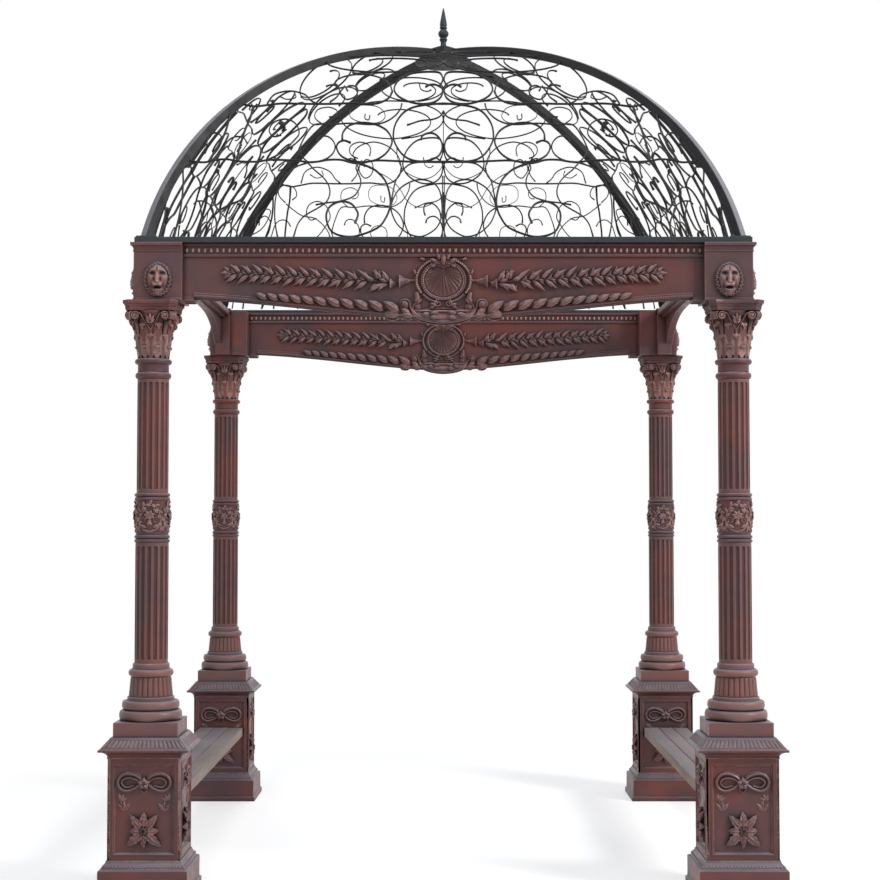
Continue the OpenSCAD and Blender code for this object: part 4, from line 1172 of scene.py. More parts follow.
def lion_face(around=64, rings=26):
    """A lion's face, its mouth open, drawn as X right, Y up and Z out about the bridge of its nose."""
    # Soft forms as (x, y, half width, half height, rise), in millimetres, both sides of the nose
    forms = (
        (0, 48, 20, 14, 5.0), (15, 39, 11, 7, 6.5), (28, 34, 10, 5, 5.5), (22, 22, 10.5, 7, -15.0),
        (22, 21, 4.6, 3.8, 9.0), (0, 20, 7, 20, 6.5), (0, -2, 9.5, 14, 8.0), (0, -15, 12, 6, 6.5),
        (5.5, -20, 2.6, 2, -5.0), (12, -28, 11.5, 8, 9.0), (29, 2, 9, 12, 4.5), (0, -41, 15, 4.5, -20.0),
        (0, -52, 14, 4.5, 9.0), (0, -66, 11, 6, 4.0), (26, -36, 6, 14, -7.5), (38, 44, 7, 8, 4.0),
        (0, 44, 2.2, 14, -7.0), (13, -6, 3.5, 12, -6.0),
    )
    half_wide, half_high = 50.0, 72.0
    angles = np.arange(around) * 2 * math.pi / around
    rows, polish_and_light_tones = [], []
    for part in np.sin(np.linspace(0.04, 1, rings) * math.pi / 2)[::-1]:
        x = part * half_wide * np.cos(angles)
        y = part * half_high * np.sin(angles) - 6
        x = x * np.where(y < 0, 1 + 0.0035 * y, 1.0)
        form = 0 * x
        for fx, fy, wide, high, rise in forms:
            for side in (1, -1) if fx else (1,):
                near = np.exp(-(((x - side * fx) / wide) ** 2) - ((y - fy) / high) ** 2)
                form = form + rise * near * (1 - part**8)
        z = 20 * np.sqrt(max(0.0, 1 - part**2.4)) + form
        polish_and_light_tones.append(np.clip(0.25 + 0.09 * form, -0.8, 1.0))
        rows.append(np.stack([x, y, z], -1) * MM)
    back = rows[0].copy()
    back[:, 2] = -2 * MM
    # Raised features are rubbed bright and painted with highlights, and the eye sockets and mouth are painted
    # dark as shade
    return (*skin([back] + rows), np.concatenate([polish_and_light_tones[0]] + polish_and_light_tones))


def leaf_place(side, x, y, out, turn, size, tilt=0):
    """The place of a leaf on a relief, out in millimetres, mirrored where side is -1."""
    return (side * x, y, out * MM), (0, tilt, turn if side > 0 else 180 - turn), size


def lion_mask(s):
    """A lion mask: the face over a ring of short mane locks, on a low oval ground."""
    mane = []
    count = 24
    for k in range(count):
        a = 2 * math.pi * (k + 0.5) / count
        x, y = 0.37 * s.mask_width * math.cos(a), 0.42 * s.mask_height * math.sin(a) - 4 * MM
        for way, inset, lift in ((38, 0.98, 0), (-18, 0.9, 2)):
            turn = math.degrees(math.atan2(y, x)) + (way if x > 0 else -way)
            mane.append(((x * inset, y * inset, lift * MM), (0, 4, turn), (0.2, 0.32, 0.8)))
    edge = [(part, out * MM) for part, out in ((1, -2), (1, 1), (0.94, 3), (0.7, 5), (0.1, 6))]
    ground = oval_plate(s.mask_width * 0.92, s.mask_height * 0.92, edge, 40)
    # The mane locks are painted darker: painted shade among the locks
    return joined(ground, leaves(mane, 8, 9, polish_and_painted_light=-0.15), moved(lion_face(), at(0, 0, 4 * MM)))


def block_body(s):
    """The front left corner block, with its cornice on the two outer faces and a mask on each."""
    low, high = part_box("corner_block_front_left")
    x, y, bottom, top = high.x, high.y, low.z, high.z
    foot = top - s.cornice_height
    reach = s.cornice_out / MM
    steps = [(out, bottom + up * MM) for out, up in ((-1, 0), (3, 1.5), (3, 9), (0, 12))]
    cornice = ((0, 0), (3, 1), (3, 6), (1, 8), (2, 16), (6, 24), (7, 27), (reach, 29))
    steps += [(out, foot + up * MM) for out, up in cornice]
    steps += [(reach, top - 2 * MM), (reach - 2, top)]
    w = s.block_width
    c = 1.5 * MM
    rows = []
    for out, z in steps:
        r = w + out * MM
        rows.append([(x - r + c, y - r, z), (x - r, y - r + c, z), (x - r, y, z), (x, y, z), (x, y - r, z)])
    mask = lion_mask(s)
    middle = (bottom + foot) / 2 - s.mask_drop
    front = moved(mask, on_wall(x - w / 2, y - w, middle))
    outer = moved(mask, at(x - w, y - w / 2, middle) @ turned(-90) @ turned(90, "X"))
    return joined(skin(rows), front, outer)


def beam_depth(s, u):
    """Height of a beam at a distance from midspan: it hangs lowest in the middle."""
    low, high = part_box("front_beam")
    arm = high.x - s.tongue_length
    if abs(u) > arm:
        return s.end_height + s.tongue_height
    t = min(1.0, abs(u) / arm)
    return s.end_height + s.sag * (0.55 * (1 - t) + 0.45 * (1 + math.cos(math.pi * t)) / 2)


def beam_core(s):
    """The moulded beam itself, from its section at each distance from midspan."""
    low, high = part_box("front_beam")
    middle = (low.y + high.y) / 2
    half = s.thickness / 2
    top = high.z
    arm = high.x - s.tongue_length
    jump = arm + 0.1 * MM
    stations = np.concatenate([[high.x, jump], np.linspace(arm, -arm, 61), [-jump, -high.x]])
    upper = ((7, 0), (9, 2), (9, 10), (6, 14), (0, 17), (0, 47), (6, 49), (9, 53), (9, 60), (4, 64), (0, 67))
    lower = ((0, 20), (3, 17), (4, 10), (8, 7), (8, 2), (5, 0), (-12, 0), (-14, -5), (-20, -5), (-22, 0))
    rows = []
    for u in stations:
        d = beam_depth(s, u)
        side = [(out * MM, v * MM) for out, v in upper] + [(out * MM, d - v * MM) for out, v in lower]
        row = [(u, middle - half - out, top - v) for out, v in side]
        row += [(u, middle + half + out, top - v) for out, v in side[::-1]]
        rows.append(row)
    return skin(rows)


def bellflower(long, radius):
    """A bellflower along X: its mouth at X = 0 faces outwards and its stem lies behind."""
    profile = (
        (0.30, 0.02), (0.62, 0.10), (0.98, 0.0), (1.0, 0.04), (0.86, 0.20),
        (0.56, 0.42), (0.46, 0.60), (0.40, 0.80), (0.24, 0.92), (0.16, 1.0),
    )
    return moved(lathe([(radius * r, long * t) for r, t in profile], 14), turned(-90, "Y"))


def cartouche(s):
    """The oval cartouche: a scrolled and beaded border around a radiating shell."""
    wide, high = s.cartouche_width, s.cartouche_height
    edge = (
        (1.0, -3), (1.0, 8), (0.975, 12), (0.95, 13), (0.925, 10), (0.91, 7), (0.84, 6), (0.83, 3), (0.05, 3),
    )
    border = oval_plate(wide * 0.76, high * 0.80, [(part, out * MM) for part, out in edge], 56)
    # The shell's ribs fan down from a point near the oval's top
    count = 96
    angles = np.arange(count) * 2 * math.pi / count
    heart = np.array([0, 0.22 * high])
    rim = np.stack([0.31 * wide * np.cos(angles), 0.335 * high * np.sin(angles)], -1)
    heading = np.unwrap(np.arctan2(rim[:, 1] - heart[1], rim[:, 0]))
    rows = []
    for t in (1.0, 0.97, 0.85, 0.6, 0.35, 0.15, 0.03):
        xy = heart + (rim - heart) * t
        ribs = np.abs(np.sin(heading * 17)) * 3.4 * min(1.0, 4 * t) * (t < 0.99)
        z = 3 + 7 * (1 - (1 - t) ** 2) * t * (1 - t) * 2.2 + ribs + 5 * (1 - t)
        rows.append(np.hstack([xy, (z * MM)[:, None]]))
    under = rows[0].copy()
    under[:, 2] = -2 * MM
    ring = np.stack([0.335 * wide * np.cos(angles), 0.352 * high * np.sin(angles), np.full(count, 7 * MM)], -1)
    # The shell's field is painted dark: painted shade inside the border
    parts = [border, with_polish_and_painted_light(skin([under] + rows), -0.5), bead_rows([ring], 9.5 * MM, 9 * MM, closed=True)]
    # A beaded C-scroll hugs each side, over a second one at its foot
    arc = np.radians(np.linspace(62, -34, 16))
    hug = np.stack([0.445 * wide * np.cos(arc), 0.44 * high * np.sin(arc)], -1)
    top_curl = spiral(15 * MM, 1.2, 60) + hug[0] - np.array([8, 9]) * MM
    foot_arc = np.radians(np.linspace(-38, -76, 8))
    lower = np.stack([0.43 * wide * np.cos(foot_arc), 0.45 * high * np.sin(foot_arc)], -1)
    foot_curl = spiral(17 * MM, 1.4, 100, -1) + (0.085 * wide, -0.455 * high)
    parts += [ribbon_pair(hug, 12, 20, 13, 8), ribbon_pair(top_curl, 11, 5, 11)]
    parts += [ribbon_pair(lower, 17, 12, 12, 8), ribbon_pair(foot_curl, 12, 6, 12)]
    rows = [np.hstack([hug * (side, 1), np.full((len(hug), 1), 13 * MM)]) for side in (1, -1)]
    parts.append(bead_rows(rows, 10 * MM, 9 * MM))
    spots = [((0, 0.34 * high, 6 * MM), (0, 0, 90), (0.40, 0.5, 1.4))]
    for x, y, turn, size in (
        (0.40, -0.30, -65, 0.42), (0.44, -0.22, -95, 0.4), (0.36, -0.37, -42, 0.34), (0.14, -0.50, -30, 0.28),
        (0.05, 0.40, 62, 0.36), (0.10, 0.36, 25, 0.38), (0.12, 0.30, -12, 0.3), (0.30, 0.40, 20, 0.28),
        (0.45, 0.10, 70, 0.3), (0.22, -0.46, 200, 0.32),
    ):
        spots += [leaf_place(side, x * wide, y * high, 4, turn, (size, size, 1.2)) for side in (1, -1)]
    crest = moved(ball(9 * MM, 10, 6), at(0, 0.33 * high, 12 * MM))
    return joined(*parts, leaves(spots, 10, 6, lobes=2), crest)


def garlands(s):
    """The laurel branches beside the cartouche, growing outwards in pairs of leaves from bellflowers."""
    near, far = 322 * MM, s.garland_reach
    spots, berries, parts = [], [], []
    rng = np.random.default_rng(7)
    for side in (1, -1):
        u = near
        stem = [(side * 236 * MM, -176 * MM, 2 * MM)]
        while u < far - 40 * MM:
            t = (u - near) / (far - near)
            v = -(168 - 34 * t) * MM
            stem.append((side * u, v, 2 * MM))
            for turn, ahead in ((38, 0), (-34, 16)):
                wobble = 12 * (rng.random() - 0.5)
                long = 0.72 - 0.1 * t + 0.08 * rng.random()
                spots.append(leaf_place(side, u + ahead * MM, v, 3, turn + wobble, (long, 0.34, 1.1), -5))
                for more, bend, small in ((12, 1.75, 0.44), (20, 0.35, 0.4), (30, 1.3, 0.36)):
                    x = u + (ahead + more) * MM
                    spots.append(leaf_place(side, x, v, 2, bend * turn - wobble, (small, 0.24, 1.0), -4))
            u += (56 - 8 * t) * MM
        stem.append((side * u, -134 * MM, 2 * MM))
        parts.append(ribbon(stem, 6 * MM, 7 * MM, 6))
        for turn, long in ((0, 0.5), (42, 0.42), (-38, 0.42)):
            spots.append(leaf_place(side, u, -134 * MM, 1, turn, (long, 0.34, 1.0)))
        # The near end spreads in a fan of small leaves and berries
        for x, y, turn, long in (
            (242, -176, 58, 0.62), (246, -178, 24, 0.5), (240, -182, -14, 0.9), (262, -172, 84, 0.46),
            (270, -168, 50, 0.55), (282, -184, -34, 0.6), (292, -166, 74, 0.5), (300, -182, -58, 0.42),
            (268, -184, -48, 0.4), (306, -170, 22, 0.5),
        ):
            spots.append(leaf_place(side, x * MM, y * MM, 2, turn, (long, 0.36, 1.2), -5))
        for x, y in (
            (262, -140), (286, -132), (310, -128), (278, -150),
            (300, -146), (286, -206), (308, -204), (322, -196),
        ):
            berries.append(((side * x * MM, y * MM, 5 * MM), (0, 0, 0), 1))
        root = [(side * (s.cartouche_width / 2 - 8 * MM), -167 * MM, 4 * MM)] + mm((side * 158, -169, 5))
        parts.append(ribbon(root, 12 * MM, 9 * MM, 6))
        for long, radius, u, v in ((48, 31, 198, -171), (36, 25, 240, -182)):
            flower = moved(bellflower(long * MM, radius * MM), at(u * MM, v * MM, 4 * MM))
            parts.append(moved(flower, Matrix.Diagonal((side, 1, 0.75, 1))))
    return joined(*parts, leaves(spots, 9, 9), copies(ball(7 * MM, 8, 5), berries))


def leaf_rope(s):
    """The leaf rope from the beam's foot up to the plaque: slanted leaves that grow towards the middle."""
    spots, parts = [], []
    near = 212 * MM
    for side in (1, -1):
        u = s.rope_reach - 10 * MM
        spine = []
        while u > near:
            t = 1 - (u - near) / (s.rope_reach - near)
            thick = (27 + 23 * t) * MM
            v = -beam_depth(s, u) + 12 * MM + thick / 2
            spine.append((side * u, v, 1 * MM))
            long = (62 + 26 * t) * MM
            slant = 24 + 10 * t
            x = u - 0.5 * long * math.cos(math.radians(slant))
            y = v - 0.5 * long * math.sin(math.radians(slant))
            size = (long / LEAF_SIZE[0], 0.5 + 0.2 * t, 1.5 + 0.5 * t)
            spots.append(leaf_place(side, x, y, 1, slant, size, -4))
            u -= (48 + 24 * t) * MM
        parts.append(ribbon(np.array(spine), np.linspace(14, 26, len(spine)) * MM, 6 * MM, 8))
    return joined(leaves(spots, 10, 8, half=3), *parts)


def plaque(s):
    """The boat-shaped plaque at midspan, with bosses and volutes at its upper corners."""
    half = s.plaque_width / 2
    x = np.linspace(-1, 1, 25)
    top_edge = -300 * MM + 4 * MM * (x**2)
    low_edge = -338 * MM - 20 * MM * np.cos(x * math.pi / 2) ** 1.3 + 24 * MM * np.abs(x) ** 6
    rows = []
    for out, inset in ((-4, 0), (7, 0), (11, 3), (12, 6), (9, 9), (7, 11), (7, 14)):
        across = x * half * (1 - inset * MM / half)
        lift = np.full(25, out * MM)
        top_line = np.stack([across, top_edge - inset * MM, lift], -1)
        low_line = np.stack([across, low_edge + inset * MM, lift], -1)
        rows.append(np.vstack([low_line, top_line[::-1]]))
    roll = spiral(26 * MM, 1.7, 200, -1) + (174 * MM, -276 * MM)
    tail = smooth_path(mm((118, -322), (136, -306), (146, -292), (149.6, -284.9)), 5)
    small = spiral(20 * MM, 1.5, -20) + (116 * MM, -288 * MM)
    sweep = smooth_path(mm((112, -308), (80, -298), (40, -293), (0, -292)), 5)
    parts = [skin(rows), ribbon_pair(np.vstack([tail[:-1], roll]), 16, 8, 14, 8)]
    parts += [ribbon_pair(small, 11, 5, 11), ribbon_pair(sweep, 7, 7, 9)]
    spots = []
    for side in (1, -1):
        parts.append(moved(ball(20 * MM, 14, 8), at(side * 174 * MM, -276 * MM, 2 * MM)))
        parts.append(moved(ball(14 * MM, 12, 7), at(side * 116 * MM, -288 * MM, 4 * MM)))
        for u, v, turn, size in (
            (140, -326, 10, 0.5), (150, -318, 32, 0.5), (96, -322, 172, 0.4), (60, -334, 176, 0.42),
            (60, -314, 174, 0.4), (204, -300, -18, 0.6), (200, -318, -8, 0.6),
        ):
            spots.append(leaf_place(side, u * MM, v * MM, 5, turn, (size, size, 1.1)))
    return joined(*parts, leaves(spots, 8, 6))


def top_beads(s, reach, drop):
    """The bead row under a beam's top fillet, ending short of the beam's ends."""
    end = reach - 16 * MM
    row = [(-end, -drop * MM, 3 * MM), (end, -drop * MM, 3 * MM)]
    return bead_rows([row], s.bead_spacing, s.bead_size, shape=s.bead_shape)


def beam_body(s):
    """The front beam: moulded core, bead row, cartouche, garlands, rope and plaque on both faces."""
    low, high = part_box("front_beam")
    middle = (low.y + high.y) / 2
    relief = joined(
        top_beads(s, high.x, 32),
        moved(cartouche(s), at(0, -167 * MM, 0)),
        garlands(s),
        leaf_rope(s),
        plaque(s),
    )
    outer = moved(relief, on_wall(0, middle - s.thickness / 2, high.z))
    inner = moved(outer, at(0, 2 * middle, 0) @ turned(180))
    # The beam's mouldings are painted darker than the relief: dirt and painted shade on the ground
    return joined(with_polish_and_painted_light(beam_core(s), -0.16), outer, inner)


def arched_beam_body(s):
    """A side beam, drawn as the front one: a beaded arched plate with rails and tongues on its inner side."""
    low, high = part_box("front_beam")
    face = (low.y + high.y) / 2 - s.thickness / 2
    top = high.z
    arm = high.x - s.tongue_length
    # Its section, as how far out and how far below the top or above the lower edge, in millimetres
    upper = ((7, 0), (9, 2), (9, 10), (6, 14), (0, 17), (0, 43), (3, 45), (4, 47), (4, 49), (1, 50))
    plate, rail, step, deep = (-s.arch_plate / MM, s.arch_rail / MM, s.arch_step / MM, -s.thickness / MM)
    ledge = plate - 2 * step
    lower = ((1, 3.5), (4, 3), (4, 1), (3, 0), (plate, 0))
    inner = ((plate, rail + step + 2), (plate - 3, rail + step), (ledge + 1, rail + step))
    inner += ((ledge, rail + step - 1), (ledge, rail + 1), (ledge - 1, rail))
    inner += ((deep + 3, rail), (deep, rail - 3), (deep, 0))
    rows = []
    for u in np.concatenate([[high.x], arm * np.sin(np.linspace(1, -1, 61) * math.pi / 2), [-high.x]]):
        d = s.arch_middle + (s.arch_end - s.arch_middle) * min(1.0, abs(u) / arm) ** s.arch_power
        side = [(out * MM, v * MM) for out, v in upper] + [(out * MM, d - v * MM) for out, v in lower]
        side += [(out * MM, v * MM) for out, v in inner]
        rows.append([(u, face - out, top - v) for out, v in side])
    parts = [skin(rows)]
    c = 4 * MM
    foot = top - s.end_height - s.tongue_height
    x0, x1, y1 = arm, high.x, face + s.thickness
    loop = ((x1, face), (x1, y1), (x0 + c, y1), (x0, y1 - c), (x0, face + c), (x0 + c, face))
    for side in (1, -1):
        parts.append(skin([[(side * x, y, z) for x, y in loop] for z in (foot, top)]))
    return joined(*parts, moved(top_beads(s, high.x, 30), on_wall(0, face, top)))


# ---- Dome ----

# Scroll bars of one side, left of its middle, as (across, up along the arc) in millimetres.
# The dome's foot is at 0 up, and the number after each line is the bar's swell.
SCROLLS = (
    (((-4, 12), (-4, 324)), 0.9),
    (((-238, 160), (-226, 203), (-198, 255), (-147, 293), (-96, 304), (-45, 285), (-16, 240), (-6, 160),
      (-10, 104), (-32, 55), (-76, 22), (-114, 14), (-164, 32), (-209, 76), (-231, 125), (-238, 160)), 1.0),
    (((-10, 104), (-20, 146), (-51, 178), (-83, 171), (-88, 140), (-82, 118)), 1.0),
    (((-385, 395), (-340, 371), (-295, 343), (-243, 308), (-198, 255), (-172, 203), (-146, 175),
      (-115, 159), (-77, 164), (-51, 178)), 0.8),
    (((0, 399), (-13, 363), (-45, 324), (-90, 307), (-141, 324), (-186, 363), (-210, 428),
      (-214, 487)), 0.8),
    (((-238, 160), (-223, 270), (-205, 324), (-167, 379), (-129, 399), (-60, 404), (0, 404)), 1.0),
    (((-398, 79), (-385, 118), (-393, 146), (-419, 178), (-464, 188), (-507, 167), (-526, 132), (-525, 90),
      (-505, 42), (-460, 18), (-391, 16), (-297, 55), (-260, 104), (-241, 160), (-242, 218), (-262, 293),
      (-301, 347), (-340, 375), (-385, 395)), 1.15),
    (((-392, 395), (-399, 367), (-387, 336), (-376, 301), (-379, 263), (-407, 214), (-470, 189),
      (-520, 182), (-577, 171)), 1.0),
    (((-620, 400), (-589, 359), (-550, 320), (-523, 278), (-514, 233), (-527, 189), (-558, 160),
      (-608, 128), (-636, 104), (-657, 69), (-672, 12)), 1.0),
    (((-744, 12), (-754, 62), (-760, 118), (-759, 203), (-745, 263), (-716, 332), (-673, 375),
      (-620, 400)), 1.0),
    (((-714, 182), (-740, 211), (-748, 240), (-736, 266), (-714, 274), (-682, 263), (-667, 240),
      (-666, 214), (-683, 196)), 0.9),
    (((-710, 175), (-678, 146), (-633, 114), (-582, 104), (-543, 72), (-517, 35), (-509, 12)), 0.9),
    (((-1187, 419), (-1146, 407), (-1091, 402), (-1038, 416), (-988, 419), (-938, 408), (-858, 405),
      (-790, 416), (-675, 412), (-623, 403), (-578, 405), (-527, 416), (-469, 416), (-431, 403),
      (-385, 395), (-309, 412), (-200, 408), (-123, 404), (0, 404)), 1.1),
    (((-880, 12), (-826, 42), (-796, 83), (-779, 139), (-811, 146), (-841, 104), (-846, 62)), 0.9),
    (((-1272, 12), (-1256, 105), (-1253, 193), (-1240, 267), (-1210, 335), (-1174, 378), (-1126, 400),
      (-1086, 402)), 1.0),
    (((-1208, 12), (-1190, 116), (-1182, 204), (-1182, 291), (-1187, 360), (-1172, 380)), 1.1),
    (((-1127, 174), (-1110, 190), (-1078, 187), (-1050, 165), (-1037, 132), (-1050, 100), (-1072, 57),
      (-1093, 12)), 1.0),
    (((-1103, 187), (-1092, 138), (-1089, 78), (-1093, 12)), 1.0),
    (((-950, 404), (-983, 332), (-1018, 256), (-1042, 199), (-1046, 149), (-1025, 100), (-1019, 62),
      (-1022, 12)), 1.1),
    (((-852, 404), (-864, 326), (-883, 267), (-912, 201), (-955, 176), (-998, 151), (-1036, 113),
      (-1068, 68), (-1096, 12)), 1.1),
    (((-467, 541), (-465, 586), (-438, 634), (-386, 654), (-321, 644), (-267, 605), (-240, 550),
      (-240, 505), (-265, 453), (-309, 416), (-366, 403), (-424, 412), (-470, 441), (-491, 487),
      (-484, 520), (-458, 534), (-428, 520)), 1.1),
    (((-338, 440), (-334, 475), (-346, 508), (-384, 524), (-420, 508), (-432, 475), (-420, 442),
      (-392, 424)), 0.9),
    (((-586, 527), (-578, 550), (-559, 563), (-533, 559), (-509, 532), (-498, 496), (-506, 457),
      (-534, 424), (-578, 405), (-617, 403), (-650, 440), (-664, 480)), 1.0),
    (((-104, 541), (-95, 568), (-66, 583), (-38, 575), (-14, 540), (-5, 492), (-20, 443), (-56, 417),
      (-103, 407), (-157, 421), (-197, 461), (-227, 530), (-231, 591), (-221, 652), (-194, 716),
      (-161, 756), (-119, 779), (-50, 795), (0, 799)), 1.1),
    (((0, 488), (0, 739)), 0.8),
    (((-169, 637), (-139, 652), (-105, 668), (-50, 678), (-16, 700), (0, 739)), 1.0),
    (((-1000, 744), (-1001, 664), (-1012, 582), (-1032, 511), (-1053, 458), (-1072, 404)), 1.2),
    (((-1091, 525), (-1084, 564), (-1055, 585), (-1031, 567), (-1023, 532), (-1035, 484), (-1055, 445),
      (-1077, 404)), 1.0),
    (((-893, 770), (-903, 679), (-917, 618), (-929, 546), (-938, 484), (-946, 404)), 1.2),
    (((-905, 518), (-922, 550), (-953, 560), (-982, 546), (-1002, 515), (-1017, 471), (-1039, 412)), 1.0),
    (((-800, 418), (-742, 461), (-695, 525), (-668, 582), (-690, 650), (-738, 680), (-790, 656),
      (-808, 600), (-786, 560), (-750, 570)), 1.0),
    (((-664, 480), (-640, 560), (-600, 640), (-528, 640), (-439, 650), (-357, 642), (-302, 645),
      (-255, 671), (-222, 711), (-202, 756), (-196, 797)), 1.0),
    (((-977, 805), (-940, 792), (-888, 777), (-834, 786), (-760, 800), (-640, 797), (-534, 797),
      (-431, 802), (-361, 795), (-306, 803), (-259, 846), (-243, 906)), 1.1),
    (((-436, 750), (-436, 700), (-406, 668), (-350, 652), (-299, 657), (-273, 694), (-284, 744),
      (-320, 779), (-382, 787), (-420, 775), (-436, 750)), 0.8),
    (((-366, 716), (-366, 684), (-348, 675), (-344, 705)), 0.9),
    (((-560, 640), (-600, 690), (-590, 750), (-540, 770), (-500, 745), (-505, 705), (-535, 695)), 0.9),
    (((-84, 951), (-65, 971), (-37, 971), (-9, 941), (-4, 899), (-16, 846), (-51, 807), (-106, 797),
      (-161, 815), (-211, 859), (-233, 913), (-230, 971), (-207, 1034), (-159, 1095), (-95, 1119),
      (-24, 1114), (-4, 1051), (-6, 1002), (-20, 955)), 1.1),
    (((-115, 978), (-107, 927), (-79, 906), (-58, 920)), 0.9),
    (((-560, 955), (-536, 971), (-510, 956), (-494, 913), (-503, 859), (-535, 812)), 1.0),
    (((-456, 913), (-464, 941), (-444, 963), (-416, 949), (-407, 906), (-419, 859), (-453, 834),
      (-478, 859), (-489, 899), (-472, 956)), 1.0),
    (((-243, 906), (-262, 990), (-320, 1060), (-400, 1090), (-480, 1060), (-520, 1000), (-500, 950)), 1.0),
    (((-830, 800), (-800, 880), (-730, 910), (-660, 880), (-630, 830), (-600, 800)), 1.0),
    (((-775, 860), (-740, 835), (-700, 850), (-705, 885)), 0.9),
)


def dome_arc(d):
    """The dome's side arc: its start in radians, its radius, and how far out and high its centre is."""
    lean = math.radians(d.foot_lean)
    away = d.foot_reach - d.side_radius * math.cos(lean)
    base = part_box("dome_frame")[1].z - d.side_radius * math.sin(lean)
    return lean, d.side_radius, away, base


def dome_spot(d, u, s):
    """A place on the front side of the dome, in the middle of the bars: across, and up along the arc."""
    lean, radius, away, base = dome_arc(d)
    r = radius - d.rib_width / 2
    a = lean + s / r
    return (u, -(away + r * math.cos(a)), base + r * math.sin(a))


def oval_scroll(x, y, wide, high):
    """An oval scroll: once round, and then its end rolls in."""
    a = np.radians(np.linspace(-80, 500, 34))
    f = np.interp(np.arange(34), (0, 20, 33), (1.0, 0.98, 0.35))
    return [(x + 0.5 * wide * k * math.cos(t), y + 0.5 * high * k * math.sin(t)) for t, k in zip(a, f)]


def upper_scrolls(d):
    """The few large scrolls of the dome's two upper tiers, which lie almost flat."""
    out = []
    for low, high in ((1112, 1420), (1414, 1640)):
        middle = (low + high) / 2
        reach = -dome_spot(d, 0, middle * MM)[1] / MM - 26
        out.append((oval_scroll(-reach / 2, middle, reach, high - low), 1.0))
    return out


def scroll_side_body(d):
    """The scrollwork of the front side: flat bars on edge, hammered out at their free ends."""
    paths = []
    for points, swell in SCROLLS + tuple(upper_scrolls(d)):
        flat = smooth_path(mm(*points), 4 if len(points) > 2 else 6)
        lean = math.radians(d.foot_lean) + flat[:, 1] / (d.side_radius - d.rib_width / 2)
        facing = np.stack([0 * lean, -np.cos(lean), np.sin(lean)], -1)
        grow = np.full(len(flat), swell**2.5)
        near = min(4, len(flat) // 3)
        grow[:near] *= np.linspace(1.25, 1.0, near)
        grow[-near:] *= np.linspace(1.0, 1.25, near)
        for side in (1, -1):
            paths.append((np.array([dome_spot(d, side * u, s) for u, s in flat]), grow, facing))
    return bars(paths, d.bar_width, d.bar_depth)


def rib_body(d):
    """The front left rib: a square tube with soft edges, bent along the dome's corner, on a foot plate."""
    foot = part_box("dome_frame")[1].z
    lean, radius, away, base = dome_arc(d)
    half = d.rib_width / 2
    c = 0.16 * half
    far = 2 * half
    section = ((-half + c, 0), (half - c, 0), (half, c), (half, far - c))
    section += ((half - c, far), (-half + c, far), (-half, far - c), (-half, c))
    rows = []
    top = math.acos((d.crown_width / math.sqrt(8) - away) / radius)
    for a in np.linspace(lean - 0.03, top, 46):
        spot = np.array([math.sqrt(2) * (away + radius * math.cos(a)), base + radius * math.sin(a)])
        normal = np.array([math.cos(a), math.sqrt(2) * math.sin(a)])
        normal = normal / np.linalg.norm(normal)
        row = []
        for across, deep in section:
            run, z = spot - normal * deep
            row.append(((-run + across) / math.sqrt(2), (-run - across) / math.sqrt(2), max(z, foot)))
        rows.append(row)
    return skin(rows)


def steel_frame_body(d):
    """The flat steel frame: four mitred flats with round edges, foot plates and bolts under the ribs."""
    low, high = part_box("dome_frame")
    tall = high.z - low.z
    e = 1.5 * MM
    w = d.frame_width
    edge = [(e, 0), (0, e), (0, tall - 2 * e), (e / 2, tall - e / 2), (2 * e, tall)]
    edge += [(w - 2 * e, tall), (w - e / 2, tall - e / 2), (w, tall - 2 * e), (w, e), (w - e, 0)]
    loop = picture_frame(high.x - low.x, high.y - low.y, edge)
    plate = square_rings(mm((46, 0), (46, 4.5), (45, 6)))
    bolt = lathe(mm((8, 0), (8, 5), (6, 7)), 6)
    seat = high.x - 52 * MM
    seats, bolts = [], []
    for sx, sy in ((1, 1), (1, -1), (-1, 1), (-1, -1)):
        seats.append(((sx * seat, sy * seat, high.z), (0, 0, 0), 1))
        for dx, dy in mm((32, -32), (-32, 32)):
            bolts.append(((sx * (seat + dx), sy * (seat + dy), high.z + 5 * MM), (0, 0, 15), 1))
    return joined(moved(loop, at(0, 0, low.z)), copies(plate, seats, "steel"), copies(bolt, bolts, "steel"))


def crown_body(d):
    """The crown where the ribs meet: a bevelled block turned to face them, on a round plate."""
    low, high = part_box("crown")
    half = d.crown_width / 2
    e = 3 * MM
    thick = d.crown_plate
    tall = high.z - low.z - thick
    edge = [(half - e, 0), (half - e, 0.3 * tall), (half, 0.36 * tall), (half, tall - 2 * e)]
    edge += [(half - e, tall - e / 2), (half - 3 * e, tall - e / 3), (half - 8 * e, tall)]
    block = moved(square_rings(edge, 6 * MM), at(0, 0, thick) @ turned(45))
    r = high.x
    plate = lathe([(r - e, 0), (r, 0.5 * e), (r, thick - 0.5 * e), (r - 0.5 * e, thick)], 72)
    return moved(joined(plate, block), at(0, 0, low.z))


def finial_body():
    """The turned finial: flange, stem with a bulb and collar, and a tall pointed spike."""
    low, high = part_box("finial")
    # Shares of its radius and height
    profile = [(1, 0), (1, 0.035), (0.92, 0.05), (0.62, 0.06), (0.5, 0.10)]
    profile += [(0.44, 0.16), (0.46, 0.21), (0.6, 0.24), (0.66, 0.26), (0.55, 0.28)]
    profile += [(0.5 + 0.34 * math.sin(math.pi * t), 0.30 + 0.19 * t) for t in np.linspace(0, 1, 9)]
    profile += [(0.42, 0.505), (0.60, 0.525), (0.62, 0.54), (0.5, 0.56), (0.58, 0.60)]
    profile += [(0.52, 0.68), (0.36, 0.80), (0.2, 0.92), (0.07, 1)]
    spike = lathe([(high.x * r, (high.z - low.z) * z) for r, z in profile], 32)
    return moved(spike, at(0, 0, low.z))


# ---- Benches ----


